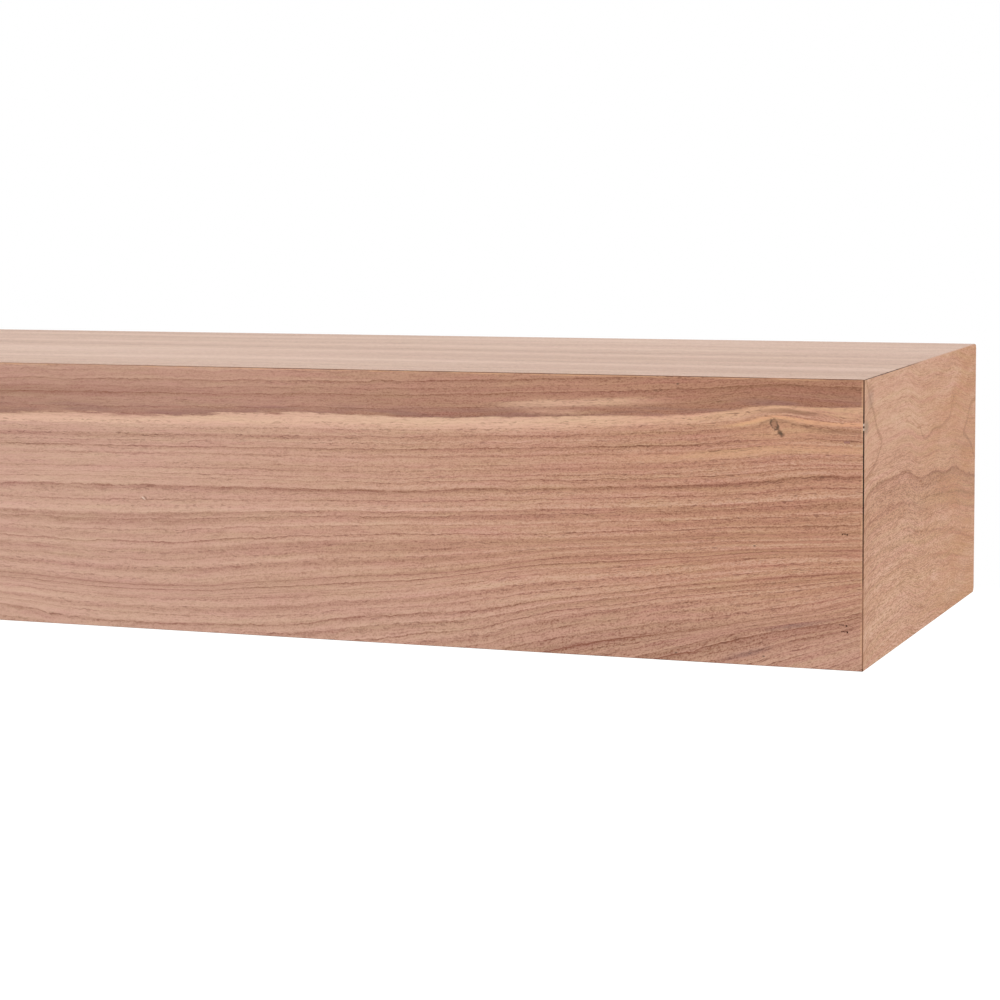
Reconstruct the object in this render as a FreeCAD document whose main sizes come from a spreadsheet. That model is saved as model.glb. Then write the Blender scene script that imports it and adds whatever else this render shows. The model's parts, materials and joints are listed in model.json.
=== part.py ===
"""Floating wall shelf: a hollow mitred walnut box that slides onto a steel rod bracket.

Frame, in millimetres: +X runs to the right along the shelf, +Y points into the wall, +Z is up.
The origin lies on the wall, at the middle of the bracket's back face.
"""

import FreeCAD, Part
import math
import os
import Sketcher
from FreeCAD import Matrix, Placement, Rotation, Vector

# Driving sizes: alias, value and what it is
SIZES = [
    ("shelf_length", 914, "outside length of the box"),
    ("shelf_depth", 254, "outside depth, from the wall to the front face"),
    ("shelf_height", 140, "outside height"),
    ("board_thickness", 19, "thickness of all five walnut boards"),
    ("rear_edge_radius", 3, "rounding of the box's rear top and bottom edges"),
    ("spline_thickness", 4, "thickness of the loose splines in the mitres"),
    ("spline_width", 16, "width of a spline, half of it in each board"),
    ("spline_inset", 8, "spline's middle from the inside corner, along the mitre face"),
    ("spline_end_gap", 30, "a spline stops this far from the box's outside"),
    ("spline_clearance", 0.5, "a groove is deeper and longer than its spline by this much each way"),
    ("brad_length", 25, "length of the brads that pin the upright front corners"),
    ("brad_wire", 1.2, "thickness of a brad's square wire, and of its head"),
    ("brad_head_width", 2.6, "width of a brad's flat head"),
    ("brad_head_depth", 1, "how far a brad's head reaches along the wire"),
    ("brad_set_depth", 1.5, "brad's head below the front face"),
    ("brad_end_gap", 9, "brad's middle from the box's end"),
    ("brad_top_gap", 30, "upper brad's middle below the box's top"),
    ("brad_bottom_gap", 22, "lower brad's middle above the box's bottom"),
    ("plate_thickness", 6, "thickness of the bracket's wall plate"),
    ("plate_end_gap", 38, "wall plate's end to the end board's inside face"),
    ("plate_edge_gap", 13, "wall plate's edge to the top or bottom board's inside face"),
    ("plate_corner_radius", 6, "rounding of the wall plate's corners"),
    ("screw_hole_diameter", 9, "clearance hole for a wall screw"),
    ("stud_spacing", 406.4, "wall screws sit this far apart, the spacing of wall studs"),
    ("screw_edge_margin", 13, "wall screw's centre from the plate's long edge"),
    ("rod_diameter", 16, "diameter of the bracket's rods"),
    ("rod_end_margin", 70, "outer rod's centre from the plate's end"),
    ("rod_front_gap", 49, "rod's tip to the front board's inside face"),
    ("rod_tip_chamfer", 2, "lead-in on the rod's tip"),
    ("rod_seat_clearance", 0.1, "room around a rod in the wall plate, all round"),
    ("channel_clearance", 0.5, "room around a rod in its square channel, on each side"),
    ("cheek_width", 14, "width of the two strips beside a rod"),
    ("plate_gap", 2, "wall plate's front face to the back of a channel's strips"),
    ("lock_setback", 60, "locking screw's axis from the wall"),
    ("lock_diameter", 8, "diameter of a locking screw"),
    ("lock_recess", 2.7, "locking screw's foot above the bottom board's inside face"),
    ("lock_tip_gap", 0.3, "locking screw's tip to the rod, backed off"),
    ("lock_chamfer", 1, "chamfer at both ends of a locking screw"),
    ("lock_key_size", 4, "hexagon socket across its flats"),
    ("lock_key_depth", 5, "depth of the hexagon socket"),
    ("insert_length", 15, "length of a threaded insert"),
    ("insert_wall", 2, "wall of a threaded insert around the screw"),
    ("insert_clearance", 0.1, "room inside and outside a threaded insert, all round"),
    ("access_clearance", 1, "key hole in the bottom board is wider than the screw, all round"),
]
ROD_NAMES = ("left_outer", "left_inner", "right_inner", "right_outer")
LOCKED_RODS = ("left_outer", "right_outer")
ENDS = ("left_end", "right_end")

# Expressions worked out from the driving sizes
HALF_LENGTH = "Sizes.shelf_length / 2"
HALF_HEIGHT = "Sizes.shelf_height / 2"
INNER_HALF_LENGTH = f"({HALF_LENGTH} - Sizes.board_thickness)"
INNER_HALF_HEIGHT = f"({HALF_HEIGHT} - Sizes.board_thickness)"
INNER_DEPTH = "(Sizes.shelf_depth - Sizes.board_thickness)"
PLATE_HALF_LENGTH = f"({INNER_HALF_LENGTH} - Sizes.plate_end_gap)"
PLATE_HALF_HEIGHT = f"({INNER_HALF_HEIGHT} - Sizes.plate_edge_gap)"
ROD_RADIUS = "Sizes.rod_diameter / 2"
ROD_REACH = f"({INNER_DEPTH} - Sizes.rod_front_gap)"
STRIP_BACK = "(Sizes.plate_thickness + Sizes.plate_gap)"
STRIP_LENGTH = f"({INNER_DEPTH} - {STRIP_BACK})"
CHANNEL_HALF = f"({ROD_RADIUS} + Sizes.channel_clearance)"
STRIP_HALF_WIDTH = f"({CHANNEL_HALF} + Sizes.cheek_width)"
STRIP_HEIGHT = f"({INNER_HALF_HEIGHT} - {CHANNEL_HALF})"
LOCK_RADIUS = "Sizes.lock_diameter / 2"
LOCK_LENGTH = f"({INNER_HALF_HEIGHT} - Sizes.lock_recess - {ROD_RADIUS} - Sizes.lock_tip_gap)"
INSERT_RADIUS = f"({LOCK_RADIUS} + Sizes.insert_clearance + Sizes.insert_wall)"
BRAD_FRONT = "(Sizes.brad_set_depth - Sizes.shelf_depth)"
BRAD_WIRE = ("Sizes.brad_wire", "Sizes.brad_length", "Sizes.brad_wire")
BRAD_HEAD = ("Sizes.brad_head_width", "Sizes.brad_head_depth", "Sizes.brad_wire")
BRAD_MOUTH = ("Sizes.brad_head_width", "(Sizes.brad_head_depth + Sizes.brad_set_depth)", "Sizes.brad_wire")
# How high the three brads of a corner sit, the middle one halfway between the others
BRAD_LEVELS = {
    "upper": f"({HALF_HEIGHT} - Sizes.brad_top_gap)",
    "middle": "((Sizes.brad_bottom_gap - Sizes.brad_top_gap) / 2)",
    "lower": f"(Sizes.brad_bottom_gap - {HALF_HEIGHT})",
}

# Each board's outward direction, and how far out its inside face lies
BOARDS = {
    "top": (Vector(0, 0, 1), INNER_HALF_HEIGHT),
    "bottom": (Vector(0, 0, -1), INNER_HALF_HEIGHT),
    "front": (Vector(0, -1, 0), INNER_DEPTH),
    "left_end": (Vector(-1, 0, 0), INNER_HALF_LENGTH),
    "right_end": (Vector(1, 0, 0), INNER_HALF_LENGTH),
}
# The mitred edges that hold a spline, each named by the two boards that meet there.
# The two upright front corners are mitred as well, and are pinned with brads.
MITRES = [
    ("top", "front"),
    ("bottom", "front"),
    ("top", "left_end"),
    ("top", "right_end"),
    ("bottom", "left_end"),
    ("bottom", "right_end"),
]
# Length of the box along each axis, and where the middle of that length lies
SPANS = {
    "x": ("Sizes.shelf_length", "0"),
    "y": ("Sizes.shelf_depth", "-Sizes.shelf_depth / 2"),
    "z": ("Sizes.shelf_height", "0"),
}

doc = FreeCAD.newDocument("floating_shelf")
sheet = doc.addObject("Spreadsheet::Sheet", "Sizes")
pieces = []


def fill_sheet():
    """Writes the driving sizes into the sheet, one row each, with an alias on the value."""
    for row, (alias, value, meaning) in enumerate(SIZES, start=1):
        sheet.set(f"A{row}", alias)
        sheet.set(f"B{row}", str(value))
        sheet.set(f"C{row}", meaning)
        sheet.setAlias(f"B{row}", alias)
    doc.recompute()


def value_of(expression):
    """The number that an expression gives with the sheet's present sizes."""
    result = sheet.evalExpression(expression)
    return float(getattr(result, "Value", result))


def bind(item, **expressions):
    """Ties properties to expressions. A double underscore in a keyword stands for a dot."""
    for name, expression in expressions.items():
        item.setExpression(name.replace("__", "."), expression)


def new_body(label):
    """A body for one sub-part, which is exported under its label."""
    body = doc.addObject("PartDesign::Body", label)
    body.Label = label
    pieces.append(body)
    return body


def new_sketch(body, name, plane):
    """An empty sketch on one of the body's own origin planes."""
    sketch = body.newObject("Sketcher::SketchObject", name)
    support = next(f for f in body.Origin.OriginFeatures if f.Role == plane)
    sketch.AttachmentSupport = [(support, "")]
    sketch.MapMode = "FlatFace"
    return sketch


def pin_point(sketch, element, end, across, up):
    """Holds a sketch point at a place given by two expressions."""
    for kind, expression in (("DistanceX", across), ("DistanceY", up)):
        place = value_of(expression)
        index = sketch.addConstraint(Sketcher.Constraint(kind, -1, 1, element, end, place))
        sketch.setExpression(f"Constraints[{index}]", expression)


def draw_outline(sketch, corners):
    """Draws a closed outline of straight lines through corners given as pairs of expressions."""
    points = [Vector(value_of(across), value_of(up), 0) for across, up in corners]
    start = sketch.GeometryCount
    count = len(points)
    for i in range(count):
        sketch.addGeometry(Part.LineSegment(points[i], points[(i + 1) % count]), False)
    for i in range(count):
        line, following = start + i, start + (i + 1) % count
        sketch.addConstraint(Sketcher.Constraint("Coincident", line, 2, following, 1))
        pin_point(sketch, line, 1, *corners[i])


def draw_circle(sketch, across, up, radius):
    """Draws a circle whose centre and radius are expressions."""
    centre = Vector(value_of(across), value_of(up), 0)
    circle = sketch.addGeometry(Part.Circle(centre, Vector(0, 0, 1), value_of(radius)), False)
    pin_point(sketch, circle, 3, across, up)
    index = sketch.addConstraint(Sketcher.Constraint("Radius", circle, value_of(radius)))
    sketch.setExpression(f"Constraints[{index}]", radius)


def pad(body, sketch, length):
    """Pushes a sketch out along its own normal."""
    feature = body.newObject("PartDesign::Pad", f"{sketch.Name}_pad")
    feature.Profile = sketch
    bind(feature, Length=length)
    return feature


def pocket_through(body, sketch):
    """Cuts a sketch through the whole body, both ways from its plane."""
    feature = body.newObject("PartDesign::Pocket", f"{sketch.Name}_pocket")
    feature.Profile = sketch
    feature.Type = "ThroughAll"
    feature.Midplane = True


def pocket_up(body, sketch, depth):
    """Cuts a sketch upwards from its plane, along the sketch's own normal."""
    feature = body.newObject("PartDesign::Pocket", f"{sketch.Name}_pocket")
    feature.Profile = sketch
    feature.Reversed = True
    bind(feature, Length=depth)


def turn(body, sketch):
    """Turns a sketch a full circle about its vertical axis."""
    feature = body.newObject("PartDesign::Revolution", f"{sketch.Name}_turned")
    feature.Profile = sketch
    feature.ReferenceAxis = (sketch, ["V_Axis"])
    feature.Angle = 360


def axis_of(direction):
    """The letter of the axis that a unit direction lies along, and its sign."""
    letter = max("xyz", key=lambda name: abs(getattr(direction, name)))
    return letter, 1 if getattr(direction, letter) > 0 else -1


def lay_in_mitre(box, mitre, clearance):
    """Sizes a box as a spline with room at its edges and ends, and lays it square across a mitre."""
    (first, first_inner), (second, second_inner) = (BOARDS[name] for name in mitre)
    outward = (first + second).normalize()
    across = (first - second).normalize()
    along = outward.cross(across)
    turned = Matrix(
        along.x, outward.x, across.x, 0,
        along.y, outward.y, across.y, 0,
        along.z, outward.z, across.z, 0,
    )
    box.Placement = Placement(turned)
    run_axis, run_sign = axis_of(along)
    span, middle = SPANS[run_axis]
    length = f"({span} - 2 * Sizes.spline_end_gap + 2 * {clearance})"
    thickness = "Sizes.spline_thickness"
    width = f"(Sizes.spline_width + 2 * {clearance})"
    bind(box, Length=length, Width=thickness, Height=width)
    # The box's own corner lies half its sizes back from its middle, along its three directions
    low_side = f"(Sizes.spline_inset - {thickness} / 2 - {width} / 2) / sqrt(2)"
    high_side = f"(Sizes.spline_inset - {thickness} / 2 + {width} / 2) / sqrt(2)"
    for direction, inner, side in ((first, first_inner, low_side), (second, second_inner, high_side)):
        letter, sign = axis_of(direction)
        box.setExpression(f"Placement.Base.{letter}", f"{sign} * ({inner} + {side})")
    box.setExpression(f"Placement.Base.{run_axis}", f"{middle} - {run_sign} * {length} / 2")


def cut_grooves(body, board):
    """Cuts a spline groove into each mitre of one board."""
    for mitre in MITRES:
        if board in mitre:
            groove = body.newObject("PartDesign::SubtractiveBox", f"{board}_groove_{'_'.join(mitre)}")
            lay_in_mitre(groove, mitre, "Sizes.spline_clearance")


def block(body, kind, name, middle, front, sizes):
    """Adds or takes away a block that is centred across and up, and runs back from its front."""
    across, up = middle
    width, run, height = sizes
    box = body.newObject(f"PartDesign::{kind}Box", name)
    bind(box, Length=width, Width=run, Height=height)
    bind(box, Placement__Base__x=f"{across} - {width} / 2", Placement__Base__y=front)
    bind(box, Placement__Base__z=f"{up} - {height} / 2")


def brad_middle(end, level):
    """Where a brad sits across and up on the front board, near one of the box's ends."""
    _, sign = axis_of(BOARDS[end][0])
    return f"{sign} * ({HALF_LENGTH} - Sizes.brad_end_gap)", BRAD_LEVELS[level]


def cut_brad_slots(body, board):
    """Cuts the slots that the brads fill, in the front board with a mouth where each was punched in."""
    for end in ENDS:
        for level in BRAD_LEVELS:
            middle = brad_middle(end, level)
            slot = f"{board}_slot_{end}_{level}"
            if board in ("front", end):
                block(body, "Subtractive", slot, middle, BRAD_FRONT, BRAD_WIRE)
            if board == "front":
                block(body, "Subtractive", f"{slot}_mouth", middle, "-Sizes.shelf_depth", BRAD_MOUTH)


def make_brads():
    """The brads that pin the upright front corners: a square wire with a flat head each."""
    for end in ENDS:
        for level in BRAD_LEVELS:
            brad = new_body(f"{end}_{level}_brad")
            for name, sizes in (("wire", BRAD_WIRE), ("head", BRAD_HEAD)):
                block(brad, "Additive", f"{brad.Name}_{name}", brad_middle(end, level), BRAD_FRONT, sizes)


def round_rear_edges(body):
    """Rounds off the box's rear top and bottom edges where they cross this board."""
    radius = "Sizes.rear_edge_radius"
    for name, sign in (("upper", 1), ("lower", -1)):
        sketch = new_sketch(body, f"{body.Name}_{name}_rear_round", "YZ_Plane")
        edge = f"{sign} * {HALF_HEIGHT}"
        inner = f"{sign} * ({HALF_HEIGHT} - {radius})"
        outer = f"{sign} * ({HALF_HEIGHT} + {radius})"
        corners = [
            (f"-{radius}", edge),
            (f"-{radius}", outer),
            (radius, outer),
            (radius, inner),
            ("0", inner),
        ]
        points = [Vector(value_of(across), value_of(up), 0) for across, up in corners]
        last = len(points) - 2
        for i in range(last + 1):
            sketch.addGeometry(Part.LineSegment(points[i], points[i + 1]), False)
            pin_point(sketch, i, 1, *corners[i])
        for i in range(last):
            sketch.addConstraint(Sketcher.Constraint("Coincident", i, 2, i + 1, 1))
        sketch.addConstraint(Sketcher.Constraint("Horizontal", last))
        # The arc that stays on the board: its middle and one end are held, its other end meets the last line
        centre = Vector(points[0].x, points[-1].y, 0)
        turned = sorted(math.atan2(p.y - centre.y, p.x - centre.x) for p in (points[0], points[-1]))
        circle = Part.Circle(centre, Vector(0, 0, 1), value_of(radius))
        arc = sketch.addGeometry(Part.ArcOfCircle(circle, *turned), False)
        pin_point(sketch, arc, 3, f"-{radius}", inner)
        on_edge, on_line = (2, 1) if sign > 0 else (1, 2)
        sketch.addConstraint(Sketcher.Constraint("Coincident", arc, on_edge, 0, 1))
        sketch.addConstraint(Sketcher.Constraint("Coincident", arc, on_line, last, 2))
        pocket_through(body, sketch)


def mitred_board(label, board, turned, outer_half, wide, deep):
    """A board whose edges are mitred inwards: a wedge that narrows from its outside to its inside face.

    Its local Y runs from the outside face inwards. wide and deep each give the low and high end of
    the outside face and then of the inside face, along the board's local X and Z.
    """
    body = new_body(label)
    wedge = body.newObject("PartDesign::AdditiveWedge", f"{label}_wedge")
    wedge.Placement = Placement(Vector(), turned)
    bind(wedge, Ymin=f"-{outer_half}", Ymax=f"-({outer_half} - Sizes.board_thickness)")
    bind(wedge, Xmin=wide[0], Xmax=wide[1], X2min=wide[2], X2max=wide[3])
    bind(wedge, Zmin=deep[0], Zmax=deep[1], Z2min=deep[2], Z2max=deep[3])
    if board != "front":
        round_rear_edges(body)
    cut_grooves(body, board)
    cut_brad_slots(body, board)
    return body


def make_boards():
    """The five boards of the hollow box, open at the back."""
    length = (f"-{HALF_LENGTH}", HALF_LENGTH, f"-{INNER_HALF_LENGTH}", INNER_HALF_LENGTH)
    height = (f"-{HALF_HEIGHT}", HALF_HEIGHT, f"-{INNER_HALF_HEIGHT}", INNER_HALF_HEIGHT)
    from_front = ("-Sizes.shelf_depth", "0", f"-{INNER_DEPTH}", "0")
    to_front = ("0", "Sizes.shelf_depth", "0", INNER_DEPTH)
    x_axis, z_axis = Vector(1, 0, 0), Vector(0, 0, 1)
    mitred_board("top_board", "top", Rotation(x_axis, -90), HALF_HEIGHT, length, from_front)
    mitred_board("front_board", "front", Rotation(), "Sizes.shelf_depth", length, height)
    mitred_board("left_end_board", "left_end", Rotation(z_axis, -90), HALF_LENGTH, to_front, height)
    mitred_board("right_end_board", "right_end", Rotation(z_axis, 90), HALF_LENGTH, from_front, height)
    bottom = mitred_board("bottom_board", "bottom", Rotation(x_axis, 90), HALF_HEIGHT, length, to_front)
    key_holes = new_sketch(bottom, "key_holes", "XY_Plane")
    key_radius = f"{LOCK_RADIUS} + Sizes.access_clearance"
    for rod in LOCKED_RODS:
        draw_circle(key_holes, rod_place(rod), "-Sizes.lock_setback", key_radius)
    pocket_through(bottom, key_holes)


def make_splines():
    """The loose plywood splines glued into the mitres."""
    for mitre in MITRES:
        label = f"{'_'.join(mitre)}_spline"
        spline = doc.addObject("Part::Box", label)
        spline.Label = label
        lay_in_mitre(spline, mitre, "0")
        pieces.append(spline)


def rod_place(rod):
    """How far along the shelf a rod sits: the rods are spread evenly along the wall plate."""
    share = 2 * ROD_NAMES.index(rod) / (len(ROD_NAMES) - 1) - 1
    return f"{share} * ({PLATE_HALF_LENGTH} - Sizes.rod_end_margin)"


def make_wall_plate():
    """The steel plate that is screwed to the wall, with seats for the rods."""
    plate = new_body("wall_plate")
    outline = new_sketch(plate, "plate_outline", "XZ_Plane")
    draw_outline(outline, [
        (f"-{PLATE_HALF_LENGTH}", f"-{PLATE_HALF_HEIGHT}"),
        (PLATE_HALF_LENGTH, f"-{PLATE_HALF_HEIGHT}"),
        (PLATE_HALF_LENGTH, PLATE_HALF_HEIGHT),
        (f"-{PLATE_HALF_LENGTH}", PLATE_HALF_HEIGHT),
    ])
    slab = pad(plate, outline, "Sizes.plate_thickness")
    doc.recompute()
    corners = plate.newObject("PartDesign::Fillet", "plate_corners")
    through_edges = [
        f"Edge{number}"
        for number, edge in enumerate(slab.Shape.Edges, start=1)
        if abs(edge.tangentAt(edge.FirstParameter).y) > 0.5
    ]
    corners.Base = (slab, through_edges)
    bind(corners, Radius="Sizes.plate_corner_radius")
    seats = new_sketch(plate, "rod_seats", "XZ_Plane")
    for rod in ROD_NAMES:
        draw_circle(seats, rod_place(rod), "0", f"{ROD_RADIUS} + Sizes.rod_seat_clearance")
    pocket_through(plate, seats)
    holes = new_sketch(plate, "wall_screw_holes", "XZ_Plane")
    row = f"({PLATE_HALF_HEIGHT} - Sizes.screw_edge_margin)"
    for side in (-1, 1):
        for level in (-1, 1):
            place = (f"{side} * Sizes.stud_spacing / 2", f"{level} * {row}")
            draw_circle(holes, *place, "Sizes.screw_hole_diameter / 2")
    pocket_through(plate, holes)


def make_rod(rod):
    """A round rod that stands out of the wall plate, with a chamfered tip."""
    body = new_body(f"{rod}_rod")
    bind(body, Placement__Base__x=rod_place(rod))
    section = new_sketch(body, f"{rod}_rod_section", "XY_Plane")
    draw_outline(section, [
        ("0", "0"),
        (ROD_RADIUS, "0"),
        (ROD_RADIUS, f"-({ROD_REACH} - Sizes.rod_tip_chamfer)"),
        (f"{ROD_RADIUS} - Sizes.rod_tip_chamfer", f"-{ROD_REACH}"),
        ("0", f"-{ROD_REACH}"),
    ])
    turn(body, section)


def make_channel(rod):
    """Four wooden strips glued up into a square channel between the boards, to take one rod."""
    middle = rod_place(rod)
    outer_edge = f"{middle} - {STRIP_HALF_WIDTH}"
    cheek = ("Sizes.cheek_width", f"-{CHANNEL_HALF}", f"2 * {CHANNEL_HALF}")
    sides = (
        ("top", outer_edge, f"2 * {STRIP_HALF_WIDTH}", CHANNEL_HALF, STRIP_HEIGHT),
        ("left", outer_edge, *cheek),
        ("right", f"{middle} + {CHANNEL_HALF}", *cheek),
    )
    for side, left, width, foot, height in sides:
        label = f"{rod}_channel_{side}"
        strip = doc.addObject("Part::Box", label)
        strip.Label = label
        bind(strip, Length=width, Width=STRIP_LENGTH, Height=height)
        bind(strip, Placement__Base__x=left, Placement__Base__y=f"-{INNER_DEPTH}", Placement__Base__z=foot)
        pieces.append(strip)
    bottom = new_body(f"{rod}_channel_bottom")
    bind(bottom, Placement__Base__x=middle, Placement__Base__y=f"-{STRIP_BACK}")
    section = new_sketch(bottom, f"{rod}_channel_bottom_section", "XZ_Plane")
    draw_outline(section, [
        (f"-{STRIP_HALF_WIDTH}", f"-{INNER_HALF_HEIGHT}"),
        (STRIP_HALF_WIDTH, f"-{INNER_HALF_HEIGHT}"),
        (STRIP_HALF_WIDTH, f"-{CHANNEL_HALF}"),
        (f"-{STRIP_HALF_WIDTH}", f"-{CHANNEL_HALF}"),
    ])
    pad(bottom, section, STRIP_LENGTH)
    if rod in LOCKED_RODS:
        drill_for_lock(bottom, rod)


def drill_for_lock(body, rod):
    """Drills the strip under a rod for a locking screw and its threaded insert."""
    back = f"-(Sizes.lock_setback - {STRIP_BACK})"
    drillings = (
        ("screw", f"{LOCK_RADIUS} + Sizes.insert_clearance", INNER_HALF_HEIGHT),
        ("insert", f"{INSERT_RADIUS} + Sizes.insert_clearance", "Sizes.insert_length"),
    )
    for name, radius, depth in drillings:
        hole = new_sketch(body, f"{rod}_{name}_hole", "XY_Plane")
        hole.setExpression("AttachmentOffset.Base.z", f"-{INNER_HALF_HEIGHT}")
        draw_circle(hole, "0", back, radius)
        pocket_up(body, hole, depth)


def make_insert(rod):
    """A threaded insert, set flush into the underside of the strip below a rod."""
    body = new_body(f"{rod}_threaded_insert")
    bind(body, Placement__Base__x=rod_place(rod), Placement__Base__y="-Sizes.lock_setback")
    bind(body, Placement__Base__z=f"-{INNER_HALF_HEIGHT}")
    section = new_sketch(body, f"{rod}_insert_section", "XZ_Plane")
    inside = f"{LOCK_RADIUS} + Sizes.insert_clearance"
    draw_outline(section, [
        (inside, "0"),
        (INSERT_RADIUS, "0"),
        (INSERT_RADIUS, "Sizes.insert_length"),
        (inside, "Sizes.insert_length"),
    ])
    turn(body, section)


def make_locking_screw(rod):
    """A grub screw that locks the shelf onto a rod from below, with a hexagon socket in its foot."""
    body = new_body(f"{rod}_locking_screw")
    bind(body, Placement__Base__x=rod_place(rod), Placement__Base__y="-Sizes.lock_setback")
    bind(body, Placement__Base__z=f"-({INNER_HALF_HEIGHT} - Sizes.lock_recess)")
    section = new_sketch(body, f"{rod}_lock_section", "XZ_Plane")
    end_radius = f"{LOCK_RADIUS} - Sizes.lock_chamfer"
    draw_outline(section, [
        ("0", "0"),
        (end_radius, "0"),
        (LOCK_RADIUS, "Sizes.lock_chamfer"),
        (LOCK_RADIUS, f"{LOCK_LENGTH} - Sizes.lock_chamfer"),
        (end_radius, LOCK_LENGTH),
        ("0", LOCK_LENGTH),
    ])
    turn(body, section)
    socket = new_sketch(body, f"{rod}_lock_socket", "XY_Plane")
    flat = "Sizes.lock_key_size / 2"
    corner = "Sizes.lock_key_size / sqrt(3)"
    draw_outline(socket, [
        (flat, f"-{corner} / 2"),
        (flat, f"{corner} / 2"),
        ("0", corner),
        (f"-{flat}", f"{corner} / 2"),
        (f"-{flat}", f"-{corner} / 2"),
        ("0", f"-{corner}"),
    ])
    pocket_up(body, socket, "Sizes.lock_key_depth")


def check_document():
    """Stops before anything is written if an object failed or a sub-part has no sound solid."""
    failed = [item.Name for item in doc.Objects if {"Invalid", "Error"} & set(item.State)]
    if failed:
        raise RuntimeError(f"these objects failed: {failed}")
    for piece in pieces:
        shape = piece.Shape
        if shape.isNull() or not shape.isValid() or len(shape.Solids) != 1:
            raise RuntimeError(f"{piece.Label} isn't one sound solid")


def export():
    """Writes each sub-part to its own STEP file and prints its size."""
    os.makedirs("parts", exist_ok=True)
    for piece in pieces:
        piece.Shape.exportStep(f"parts/{piece.Label}.step")
        box = piece.Shape.BoundBox
        print(f"{piece.Label}: {box.XLength:.1f} x {box.YLength:.1f} x {box.ZLength:.1f} mm, "
              f"{piece.Shape.Volume / 1000:.1f} cm3")


fill_sheet()
make_boards()
make_splines()
make_brads()
make_wall_plate()
for rod_name in ROD_NAMES:
    make_rod(rod_name)
    make_channel(rod_name)
for rod_name in LOCKED_RODS:
    make_insert(rod_name)
    make_locking_screw(rod_name)
doc.recompute()
check_document()
export()
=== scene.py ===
"""Looks of a floating wall shelf: a mitred walnut box that hides the steel bracket it slides onto.

Pieces are in metres in the model's own frame: +X runs to the right along the shelf, +Y points into the
wall, +Z is up, and the origin lies on the wall at the middle of the bracket's back face. Wood grain is
written in millimetres, because that is how a maker would measure it on the boards.
"""

import bpy
import contextlib
import json
import math
from mathutils import Matrix, Vector


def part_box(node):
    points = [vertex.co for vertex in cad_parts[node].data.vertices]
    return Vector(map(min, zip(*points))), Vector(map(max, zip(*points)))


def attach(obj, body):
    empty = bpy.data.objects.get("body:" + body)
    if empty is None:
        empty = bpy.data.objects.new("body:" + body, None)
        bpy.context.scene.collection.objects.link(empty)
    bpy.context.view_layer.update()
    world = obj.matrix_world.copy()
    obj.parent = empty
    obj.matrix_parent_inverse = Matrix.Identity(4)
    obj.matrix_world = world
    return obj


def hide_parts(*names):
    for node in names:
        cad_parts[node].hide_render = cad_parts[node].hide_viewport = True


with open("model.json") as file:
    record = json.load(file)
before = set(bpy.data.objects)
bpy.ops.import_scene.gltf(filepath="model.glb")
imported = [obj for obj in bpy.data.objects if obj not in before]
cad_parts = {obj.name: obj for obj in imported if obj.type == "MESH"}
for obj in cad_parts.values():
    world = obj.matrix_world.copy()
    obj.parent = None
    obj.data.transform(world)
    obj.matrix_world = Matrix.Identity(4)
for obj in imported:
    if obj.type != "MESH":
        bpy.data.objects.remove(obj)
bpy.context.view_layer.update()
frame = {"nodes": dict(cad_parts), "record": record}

MM = 0.001
# The box's corners and sizes and its boards' thickness, from the frame
BOX_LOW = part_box("left_end_board")[0]
BOX_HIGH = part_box("right_end_board")[1]
LENGTH, DEPTH, HEIGHT = BOX_HIGH - BOX_LOW
HALF_LENGTH_MM = LENGTH / 2 / MM
HALF_HEIGHT_MM = HEIGHT / 2 / MM
DEPTH_MM = DEPTH / MM
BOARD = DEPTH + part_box("front_board")[1].y

# Sizes of the boards' edges, joints and marks
REAR_RADIUS = 3 * MM
REAR_FACETS = 8
SPLINE = 4 * MM
FIT = 0.05 * MM
DENT_UNEVEN = 0.07 * MM
KEY_HOLE_RADIUS = 5 * MM
KEY_HOLE_RIM = 0.6 * MM
GLUE_DEPTH = 0.03 * MM
GLUE_BODY = 1 * MM
GLUE_STEP = 4 * MM
GLUE_UNEVEN = 0.6 * GLUE_DEPTH
PUTTY_DEPTH = 0.1 * MM
PUTTY_OVERLAP = 0.1 * MM
PUTTY_UNEVEN = 0.08 * MM
# Sizes of the bracket's edges and welds
SEAT_FIT = 0.1 * MM
PLATE_CORNER = 6 * MM
PLATE_FACETS = 12
PLATE_BREAK = 0.5 * MM
ROD_LEAD_IN = 2 * MM
ROD_BREAK = 0.4 * MM
WELD = 1.4 * MM
WELD_INSET = 0.2 * MM
WELD_RIPPLES = 22
WELD_VALLEY = 0.22 * MM
WELD_VALLEY_SHARE = 0.2
WELD_UNEVEN = 0.08 * MM
# A point nearer than this counts as on a face, a corner, a rim or a cut
ON_FACE = 0.01 * MM
ON_CORNER = 0.6 * MM
ON_RIM = 0.1 * MM
ON_CUT = 0.001 * MM
# Edges of the steel that bend more than this many degrees are broken
SHARP_ABOVE = 40
# Edges that bend less than this many degrees are shaded smooth, on boards, on steel, and on glue and welds
FLAT_BELOW = 4
ROUND_BELOW = 10
SMOOTH_BELOW = 40

# Each board's outward direction
OUTWARD = {
    "top": Vector((0, 0, 1)),
    "bottom": Vector((0, 0, -1)),
    "front": Vector((0, -1, 0)),
    "left_end": Vector((-1, 0, 0)),
    "right_end": Vector((1, 0, 0)),
}
# How far the sharp corner of each mitre is eased, by the two boards that meet there
EASED = {
    ("front", "right_end"): 0.62 * MM,
    ("front", "left_end"): 0.56 * MM,
    ("front", "top"): 0.36 * MM,
    ("front", "bottom"): 0.28 * MM,
    ("top", "right_end"): 0.45 * MM,
    ("top", "left_end"): 0.4 * MM,
    ("bottom", "right_end"): 0.26 * MM,
    ("bottom", "left_end"): 0.26 * MM,
}
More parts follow.
